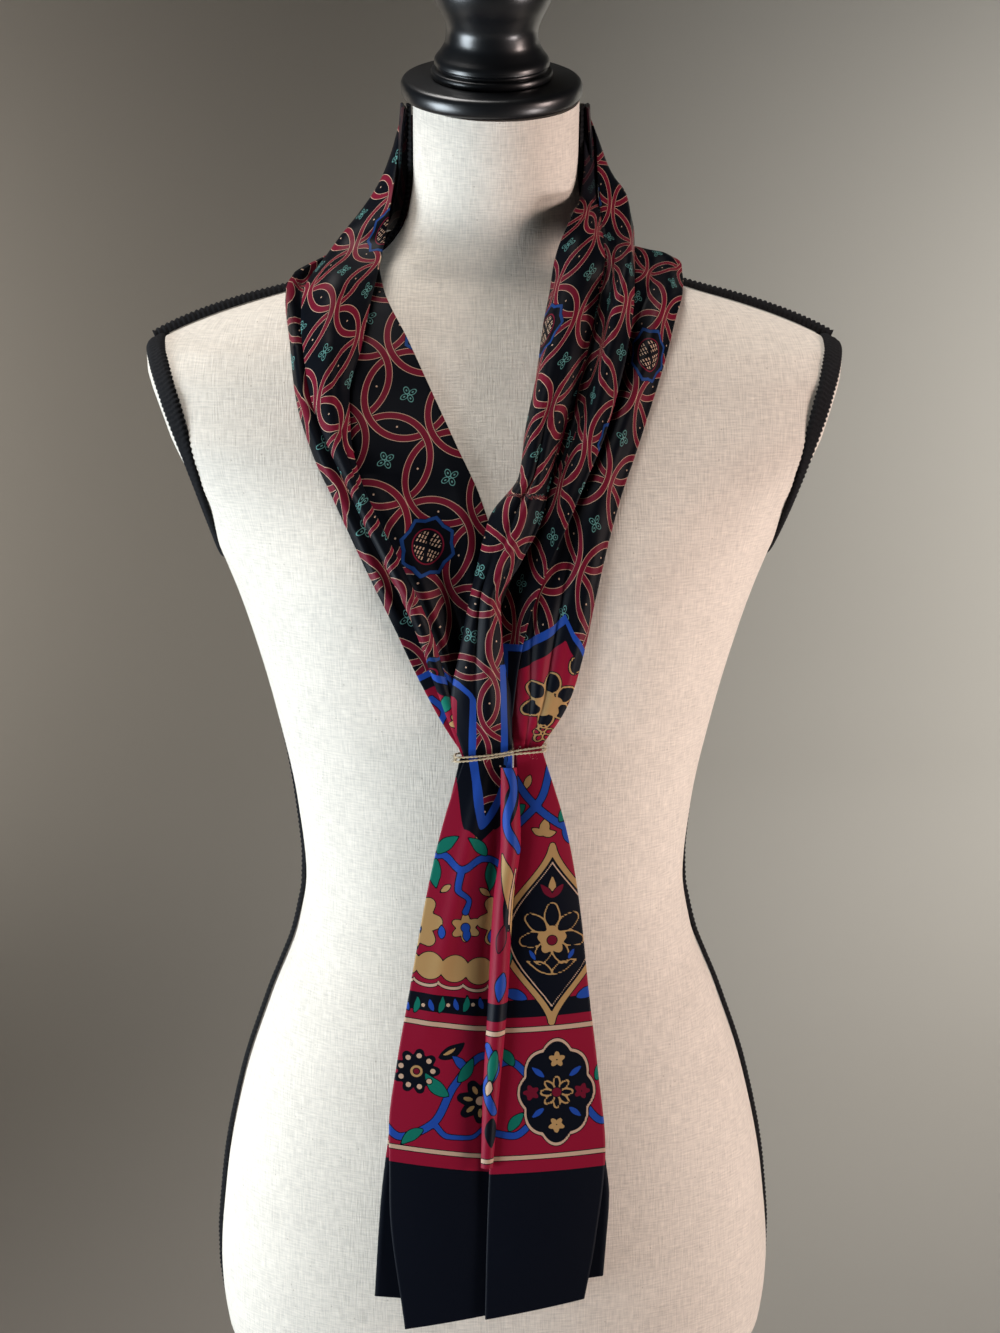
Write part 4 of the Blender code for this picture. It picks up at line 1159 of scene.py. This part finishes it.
def right_tail(ink):
    """Print of the wearer's right tail: a field tongue, vines, scallops and a flower border."""
    level = stripes(ink, RIGHT_TILT, -20)
    x, z = ink.across, ink.up
    middle = -5 - 6.5 * np.clip((1058 - z) / 41, 0, 1) ** 2
    half = 13 * np.clip((z - 1017) / 38, 0, 1) ** 0.6
    off = np.abs(x - middle)
    ink.layers["border"] = -np.where(z > 1017, (half - off) * 0.8, z - 1017 - off)
    # Vine and leaves under the tongue.
    ink.stroke("blue", (-46, 996, 1.6), (-33, 1003, 1.9), (-22, 995, 1.9), (-10, 1001, 1.8), (6, 992, 1.6))
    ink.stroke("blue", (-22, 995, 1.7), (-24, 984, 1.5), (-18, 977, 1.3), (-20, 971, 1.8))
    ink.leaves(
        ("teal", -35, 1004, 55, 14, 3.2, -4), ("teal", -36, 1000, 255, 15, 3.4, 4),
        ("teal", -9, 1003, 120, 13, 3.0, 3), ("teal", -7, 998, 285, 15, 3.2, -4),
        ("gold", -46, 1008, 130, 7, 1.6), ("gold", -14, 1012, 70, 7, 1.6),
        ("gold", -28, 986, 215, 7, 1.6), ("gold", -12, 984, 320, 7, 1.6),
    )
    ink.flower(-20, 962, ("gold", 6, 2.0, 6.4, 2.4, 30), ("blue", 2.4))
    for side, at in ((-1, -50), (1, 4)):
        ink.flower(at, 965, ("gold", 8, 4, 14, 5.2), ("shade", 8, 6, 12, 1.5), ("blue", 4.4), ("cream", 1.6))
        ink.leaf("teal", at + 13 * side, 982, 90 - 30 * side, 12, 2.6, 3 * side)
    # Row of scallops with a cream line under it, between small leaves.
    for k in range(-4, 3):
        at = k * SCALLOPS
        low = 938 - RIGHT_TILT * (at + 21)
        ink.stroke("gold", (at + 1, low, 7.6))
        ink.leaf("shade", at + 1, low - 4, 90, 8, 2.2)
        if k < 2:
            ink.leaf("blue", at + 7.7, 951 - RIGHT_TILT * at, 90, 7, 2.0)
            ink.leaf("teal", at + 6, 914, 60, 9, 1.7, 3)
            ink.leaf("blue", at + 3, 915, 120, 7, 1.4, -2)
            ink.stroke("cream", (at + 11, 918, 1.1))
    under = np.abs(((x + 1 - SCALLOPS / 2) / SCALLOPS) % 1 - 0.5) * 2
    wave = level - (931 - 3.2 * np.sqrt(1 - under**2))
    ink.layers["gold"] = np.minimum(ink.layers["gold"], np.where(level < 945, wave, 99))
    ink.lay("cream", 0.8 - np.abs(wave + 1.2))
    # Flower border between the cream lines.
    ink.stroke(
        "blue", (-70, 856, 1.8), (-56, 842, 2), (-38, 850, 2.1), (-26, 872, 2), (-10, 888, 2), (8, 880, 1.8)
    )
    ink.stroke("blue", (-38, 850, 1.6), (-30, 842, 1.4), (-18, 841, 1.2), (-8, 848, 1.0))
    ink.flower(
        -47, 880, ("shade", 9, 4.0, 10.5, 3.0), ("cream", 9, 8.5, 9.5, 1.5), ("gold", 3.4), ("red", 1.6)
    )
    ink.flower(-12, 862, ("shade", 7, 3.2, 10.4, 3.4, 12), ("gold", 7, 5.0, 8.8, 1.3, 12), ("cream", 2.6))
    ink.leaves(
        ("shade", -34, 888, 20, 15, 3.2, 3), ("gold", -33, 889, 20, 10, 1.0, 2),
        ("teal", -30, 866, 150, 17, 3.6, -5), ("teal", -24, 874, 45, 15, 3.0, 4),
        ("teal", -44, 846, 200, 14, 3.0, 4), ("blue", -20, 880, 115, 11, 2.4, 3),
    )


def left_tail(ink):
    """Print of the wearer's left tail: crossed vines, a gold-edged ogee, a lobed panel."""
    stripes(ink, LEFT_TILT, 25)
    x, z = ink.across, ink.up
    ink.layers["border"] = 0 * x - FAR
    ink.stroke("blue", (4, 1050, 1.8), (14, 1034, 1.9), (30, 1020, 1.9), (46, 1012, 1.7))
    ink.stroke("blue", (26, 1052, 1.8), (22, 1036, 1.9), (9, 1020, 1.9), (-4, 1008, 1.6))
    ink.leaves(
        ("teal", 31, 1021, 60, 13, 3, -3), ("blue", 33, 1017, 300, 13, 3, 3),
        ("gold", 22, 1014, 80, 9, 2.6), ("gold", 22, 1014, 10, 7, 1.8),
        ("gold", 22, 1014, 150, 7, 1.8), ("teal", 12, 1030, 215, 12, 2.8, 3),
        ("gold", 15, 1046, 250, 8, 1.8),
    )
    # Ogee with a palmette in it.
    drop = np.abs(z - 958) / 50
    ogee = 27 * (0.5 + 0.5 * np.cos(math.pi * np.clip(drop, 0, 1))) ** 0.8 - np.abs(x - 27)
    ogee = np.where(drop < 1, ogee * 0.82, -np.hypot(50 * (drop - 1), x - 27))
    ink.lay("shade", ogee)
    ink.lay("gold", ogee, line=1.5)
    ink.lay("cream", ogee - 3.1, line=0.35)
    ink.flower(27, 958, ("gold", 7, 6, 15, 4.2, 90, 0.4))
    ink.flower(27, 955, ("gold", 5, 1.5, 6, 3.2, 90), ("red", 2.6))
    ink.leaf("gold", 27, 980, 90, 11, 2.0)
    for side in (-1, 1):
        ink.leaves(
            ("gold", 27, 936, 90 - 50 * side, 15, 2.6, -3 * side, 0.4),
            ("red", 27, 979, 90 - 40 * side, 10, 1.8),
            ("blue", 27 + 9 * side, 944, 90 - 30 * side, 7, 1.2),
            ("blue", 27 + 14 * side, 922, 90 - 62 * side, 14, 3, -3 * side),
            ("gold", 27 + 23 * side, 1003, 90 + 12 * side, 13, 3.4, 3 * side),
            ("shade", 27 + 21 * side, 990, 90 - 20 * side, 12, 3.4, 3 * side),
            ("teal", 27 + 24 * side, 940, 90 - 10 * side, 15, 3.0, 3 * side),
        )
    # Vines of the border, kept off a lobed panel that is drawn out to points above and below.
    ink.stroke("blue", (-10, 880, 1.8), (4, 886, 1.9), (16, 876, 1.8))
    ink.stroke("blue", (44, 862, 1.8), (56, 850, 1.9), (66, 856, 1.6))
    ink.stroke("blue", (-10, 846, 1.8), (6, 843, 1.9), (18, 852, 1.7))
    ink.leaves(
        ("teal", 6, 884, 115, 12, 2.8, 3), ("teal", 4, 846, 65, 13, 2.8, -3),
        ("teal", 52, 874, 60, 12, 2.8, 3),
    )
    dx, dz = (x - 30) / 24, (z - 868) / 31
    turn = np.arctan2(dz, dx)
    reach = 1 + 0.1 * (np.abs(np.cos(4 * turn)) - 1) - 0.1 * (1 - np.abs(np.sin(turn)) ** 6)
    panel = (reach - np.hypot(dx, dz)) * (24 + 31) / 2
    beside = (z < 900) & (z > 836)
    for layer in ("blue", "teal"):
        kept = np.minimum(ink.layers[layer], -panel - 0.5)
        ink.layers[layer] = np.where(beside, kept, ink.layers[layer])
    ink.lay("shade", panel)
    ink.lay("cream", panel - 0.7, line=0.75)
    ink.flower(30, 868, ("gold", 8, 2.6, 7.6, 1.9, 0, 0.5), ("red", 2.6))
    for side in (-1, 1):
        ink.flower(30, 868 + 19 * side, ("gold", 5, 1.2, 3.6, 1.5, 180 - 90 * side))
        ink.flower(30 + 14 * side, 868, ("red", 5, 1.2, 3.6, 1.5, 90 - 90 * side))
        for up in (-1, 1):
            ink.leaf("blue", 30 + 7 * side, 868 + 9 * up, 90 - side * (90 - up * 40), 9, 1.6)


def left_tail_roll(ink):
    """Print of the rolled edge: what lies on the cloth a hand's breadth further in."""
    stripes(ink, LEFT_TILT, 25)
    ink.layers["border"] = 0 * ink.up - FAR
    ink.stroke("blue", (1, 1056, 1.6), (6, 1040, 2), (2, 1022, 2), (9, 1006, 1.8))
    ink.stroke("cream", (7, 996, 0.5), (4, 978, 0.7), (3, 962, 0.5))
    ink.stroke("blue", (-8, 896, 1.8), (-4, 884, 2), (-9, 872, 2), (-5, 858, 1.6))
    ink.leaves(
        ("shade", 8, 1046, 255, 26, 3.2, 2), ("gold", 0, 1004, 285, 48, 3.4, -7),
        ("shade", 4, 990, 268, 30, 2.4, -2), ("red", -2, 950, 80, 16, 2.0),
        ("blue", 0, 938, 262, 16, 2.6), ("teal", -4, 894, 262, 20, 2.2),
        ("cream", -8, 868, 80, 9, 1.6), ("shade", -6, 854, 268, 16, 2.6),
    )


def left_panel_end(ink):
    """Print of the panel on the wearer's left: the border's pointed arch with a flower."""
    x, z = ink.across, ink.up
    side = np.where(x < 34, (34 - x) / 27, (x - 34) / 9)
    ink.layers["border"] = ((1133 - 17 * np.clip(side, 0, 3) ** 0.8) - z) * 0.75
    ink.leaf("shade", 38, 1106, 60, 13, 4.2)
    ink.leaf("gold", 38, 1106, 60, 13, 4.2, line=0.4)
    ink.flower(25, 1090, ("shade", 6, 7, 13, 4.6, 20), ("gold", 6, 7, 13, 4.6, 20, 0.5))
    ink.flower(25, 1088, ("gold", 5, 1, 5.4, 3.4, 90))
    ink.flower(22, 1070, ("gold", 5, 2, 4.6, 2.0, 18, 0.4))


def left_band_end(ink):
    """Print of the stretch that crosses the front: a field tongue between two arches."""
    x, z = ink.across, ink.up
    left = np.minimum(-18 - x, (1101 - 0.05 * (x + 30) ** 2) - z)
    ink.layers["border"] = np.maximum(left, np.minimum(x - 3, 1108 - z))


def left_collar_end(ink):
    """Print of the collar's lower end: the corner of an arch."""
    ink.layers["border"] = np.minimum(ink.across - 3, 1116 - ink.up)


def right_front_end(ink):
    """Print of the lower ends on the wearer's right: the border's next arch, with a vine."""
    ink.layers["border"] = (1104 - 0.5 * np.abs(ink.across + 38)) - ink.up
    ink.stroke("blue", (-40, 1090, 1.6), (-33, 1082, 1.8), (-36, 1072, 1.6), (-28, 1062, 1.6))
    ink.leaf("teal", -31, 1084, 70, 10, 2.6, 3)
    ink.flower(-22, 1078, ("gold", 6, 1.6, 5, 2.0, 20))


PRINTS = {
    "right_panel": right_front_end, "right_lapel": right_front_end,
    "left_band": left_band_end, "left_collar": left_collar_end, "left_panel": left_panel_end,
    "right_tail_front": right_tail, "right_tail_back": right_tail,
    "left_tail_front": left_tail, "left_tail_back": left_tail, "left_tail_roll": left_tail_roll,
}


def make_cravat():
    # Each row: the stretch, its tables, what places it, its flat size and how fine its mesh is.
    field = (
        ("neck_band", NECK_BAND, NECK_BAND_FOLDS, form_round, (60, 280), 1.3),
        ("nape_fall", NAPE_FALL, NAPE_FALL_FOLDS, form_round, (50, 330), 1.3),
        ("right_panel", RIGHT_PANEL, RIGHT_PANEL_FOLDS, before_form, (56, 310), 0.9),
        ("right_lapel", RIGHT_LAPEL, RIGHT_LAPEL_FOLDS, before_form, (26, 350), 1.3),
        ("left_band", LEFT_BAND, LEFT_BAND_FOLDS, before_form, (26, 320), 1.3),
        ("left_collar", LEFT_COLLAR, LEFT_COLLAR_FOLDS, before_form, (24, 360), 1.3),
        ("left_panel", LEFT_PANEL, LEFT_PANEL_FOLDS, before_form, (48, 320), 0.9),
    )
    border = (
        ("right_tail_front", RIGHT_TAIL_FRONT, TAIL_FOLDS, hanging, (55, 330), 0.9),
        ("right_tail_back", RIGHT_TAIL_BACK, (), hanging, (48, 320), 2),
        ("left_tail_front", LEFT_TAIL_FRONT, (), hanging, (52, 325), 0.9),
        ("left_tail_back", LEFT_TAIL_BACK, (), hanging, (46, 310), 2),
        ("left_tail_roll", LEFT_TAIL_ROLL, (), hanging, (15, 230), 0.9),
    )
    for part, stretches in (("field", field), ("border", border)):
        finish = silk_material("printed silk, " + part)
        for name, rows, folds, place, flat, fine in stretches:
            silk(name, rows, folds, place, flat, finish, fine)


# ---------------------------------------------------------------- twine

# Length of a twist, a yarn's radius and its distance from the twine's middle, loose fibres a turn.
TWIST = 2.2
YARN_RADIUS = 0.33
YARN_OUT = 0.27
FIBRES = 60
FIBRE_RADIUS = 0.06


def twine_material():
    """Natural jute twine: two hairy cream yarns twisted together."""
    return fibre_material("cream twine", TWINE_DARK, TWINE_LIGHT, 1400.0, 0.6, 0.0004, Roughness=0.9)


def tie_outline(angle):
    """The tie's path round the gathered silk, an oval squared off front and back."""
    sine, cosine = np.sin(angle), np.cos(angle)
    reach = (np.abs(cosine) ** TIE_SQUARE + np.abs(sine) ** TIE_SQUARE) ** (-1 / TIE_SQUARE)
    x = TIE_MIDDLE[0] + TIE_HALF[0] * reach * cosine
    y = TIE_MIDDLE[1] + TIE_HALF[1] * reach * sine
    return x, y


def turned_off(side, rise, turns):
    """Directions square to a path, turned round it from its side."""
    return side[:, None] * np.cos(turns)[..., None] + rise[:, None] * np.sin(turns)[..., None]


def make_twine():
    """Two turns of twine round the gathered silk, each of two yarns twisted together."""
    finish = twine_material()
    chance = np.random.default_rng(7)
    fibres = []
    spots = np.linspace(0, 2 * math.pi, 8, endpoint=False)
    for turn, level in ((1, 1.15), (2, -1.05)):
        angle = np.linspace(0, 2 * math.pi, 720, endpoint=False)
        x, y = tie_outline(angle)
        sway = 0.35 * np.sin(2 * angle + turn * 2.2) + 0.2 * np.sin(5 * angle + turn)
        path = np.stack([x, y, tie_height(x) + level + sway], -1)
        run = run_along(np.vstack([path, path[:1]]))
        twists = round(run[-1] / TWIST / 2)
        phase = run[:-1, None] / run[-1] * twists * 2 * math.pi
        along = unit(np.roll(path, -1, axis=0) - np.roll(path, 1, axis=0))
        side = unit(np.cross(along, (0, 0, 1)))
        rise = np.cross(side, along)
        for ply in (0, 1):
            middle = path[:, None] + turned_off(side, rise, phase + ply * math.pi) * YARN_OUT
            yarn = middle + turned_off(side, rise, spots) * YARN_RADIUS
            piece = grid_object("twine_%d_yarn_%d" % (turn, ply + 1), yarn, finish, True, True)
            shown(piece, "twine_turn_%d" % turn)
        for spot in chance.integers(0, len(path), FIBRES):
            way = chance.normal(0, 1, 3)
            tip = side[spot] * abs(way[0]) + rise[spot] * way[1] + along[spot] * way[2] * 1.5
            tip *= chance.uniform(1.5, 4) / np.linalg.norm(tip)
            root = path[spot] + side[spot] * 0.3
            bend = rise[spot] * chance.normal(0, 0.5)
            spine = np.array([root, root + tip * 0.5 + bend, root + tip])
            ring = np.outer((1, -0.5, -0.5), side[spot]) + np.outer((0, 0.87, -0.87), rise[spot])
            fibres.append(spine[:, None] + ring * FIBRE_RADIUS)
    shown(lint("twine_lint", fibres, finish), "twine_turn_1")


def lint(name, fibres, finish):
    """Short fibres in one mesh: each has three rings of three points."""
    index = np.arange(len(fibres) * 9).reshape(-1, 3, 3)
    around = np.roll(index, -1, axis=2)
    quads = np.stack([index[:, :-1], around[:, :-1], around[:, 1:], index[:, 1:]], -1)
    ends = np.concatenate([index[:, 0, ::-1], index[:, 2]])
    return surface(name, np.array(fibres), quads.reshape(-1, 4).tolist() + ends.tolist(), finish)


# ---------------------------------------------------------------- studio, in metres

# Backdrop from the floor in front up the wall behind: y and height.
SWEEP = ((-4.0, 0.0), (2.0, 0.0), (2.5, 0.1), (2.75, 0.4), (2.8, 0.9), (2.8, 5.0))
CHEST = (0, 0, 1.12)
# Soft square lights: name, place, aim, size, spread in degrees, power in watts, colour.
LIGHTS = (
    ("window", (-2.05, -0.62, 0.45), CHEST, 1.2, 75, 17, "#eaf6ff"),
    ("lamp", (2.0, -0.8, 1.2), CHEST, 0.5, 75, 4.3, "#ffe8e0"),
    ("floor_lamp", (1.7, -0.85, 0.1), CHEST, 0.5, 75, 4.6, "#fff4f2"),
    ("ceiling", (-0.5, -0.1, 2.85), CHEST, 1.0, 90, 8.4, "#fffcf9"),
    ("wall_left", (-2.9, 1.15, 1.2), (-2.05, 2.8, 1.0), 1.5, 75, 14, "#fffaf1"),
    ("wall_right", (2.9, 0.9, 1.5), (2.05, 2.8, 1.05), 1.5, 75, 20, "#fffefa"),
    ("floor_wash", (0.7, 1.3, 2.6), (1.0, 2.2, 0), 1.2, 75, 7, "#fffdfa"),
)
# The camera stands 1.25 m off, 10 degrees above the level of the chest and 2 degrees round.
CAMERA_AIM = (0, 0, 1.085)
CAMERA_AWAY = 1.25
CAMERA_RISE = 10
CAMERA_ROUND = -2
CAMERA_LENS = 38.26
CAMERA_SHIFT = 0.0041


def make_studio():
    """Pale seamless floor and wall, a low soft window on the left, a warm lamp on the right."""
    paper, _, shader = new_material("pale paper")
    feed(shader, Base_Color=PAPER, Roughness=0.95)
    fine = smooth(np.arange(len(SWEEP)), SWEEP, np.linspace(0, len(SWEEP) - 1, 60))
    points = np.array([[(x, y, z) for x in np.linspace(-4.5, 4.5, 9)] for y, z in fine]) / MM
    backdrop = grid_object("backdrop", points, paper)
    for name, place, aim, size, spread, power, colour in LIGHTS:
        lamp = bpy.data.lights.new(name, "AREA")
        lamp.size = size
        lamp.spread = math.radians(spread)
        lamp.energy = power
        lamp.color = linear(colour)
        hung = bpy.data.objects.new(name, lamp)
        hung.location = place
        toward = Vector(aim) - Vector(place)
        hung.rotation_euler = toward.to_track_quat("-Z", "Y").to_euler()
        bpy.context.scene.collection.objects.link(hung)
    world = bpy.data.worlds.new("room")
    world.use_nodes = True
    feed(world.node_tree.nodes["Background"], _0=ROOM, _1=0.03)
    bpy.context.scene.world = world
    bpy.context.scene.view_settings.view_transform = "Standard"


def make_camera():
    lens = bpy.data.cameras.new("camera")
    lens.sensor_fit = "VERTICAL"
    lens.sensor_height = 24
    lens.lens = CAMERA_LENS
    lens.shift_x = CAMERA_SHIFT
    rise, turn = math.radians(CAMERA_RISE), math.radians(CAMERA_ROUND)
    level = math.cos(rise)
    back = Vector((math.sin(turn) * level, -math.cos(turn) * level, math.sin(rise)))
    made = bpy.data.objects.new("camera", lens)
    made.location = Vector(CAMERA_AIM) + back * CAMERA_AWAY
    made.rotation_euler = back.to_track_quat("Z", "Y").to_euler()
    bpy.context.scene.collection.objects.link(made)
    bpy.context.scene.camera = made


make_cover()
make_braids()
make_cap()
make_stand()
make_cravat()
make_twine()
make_studio()
make_camera()
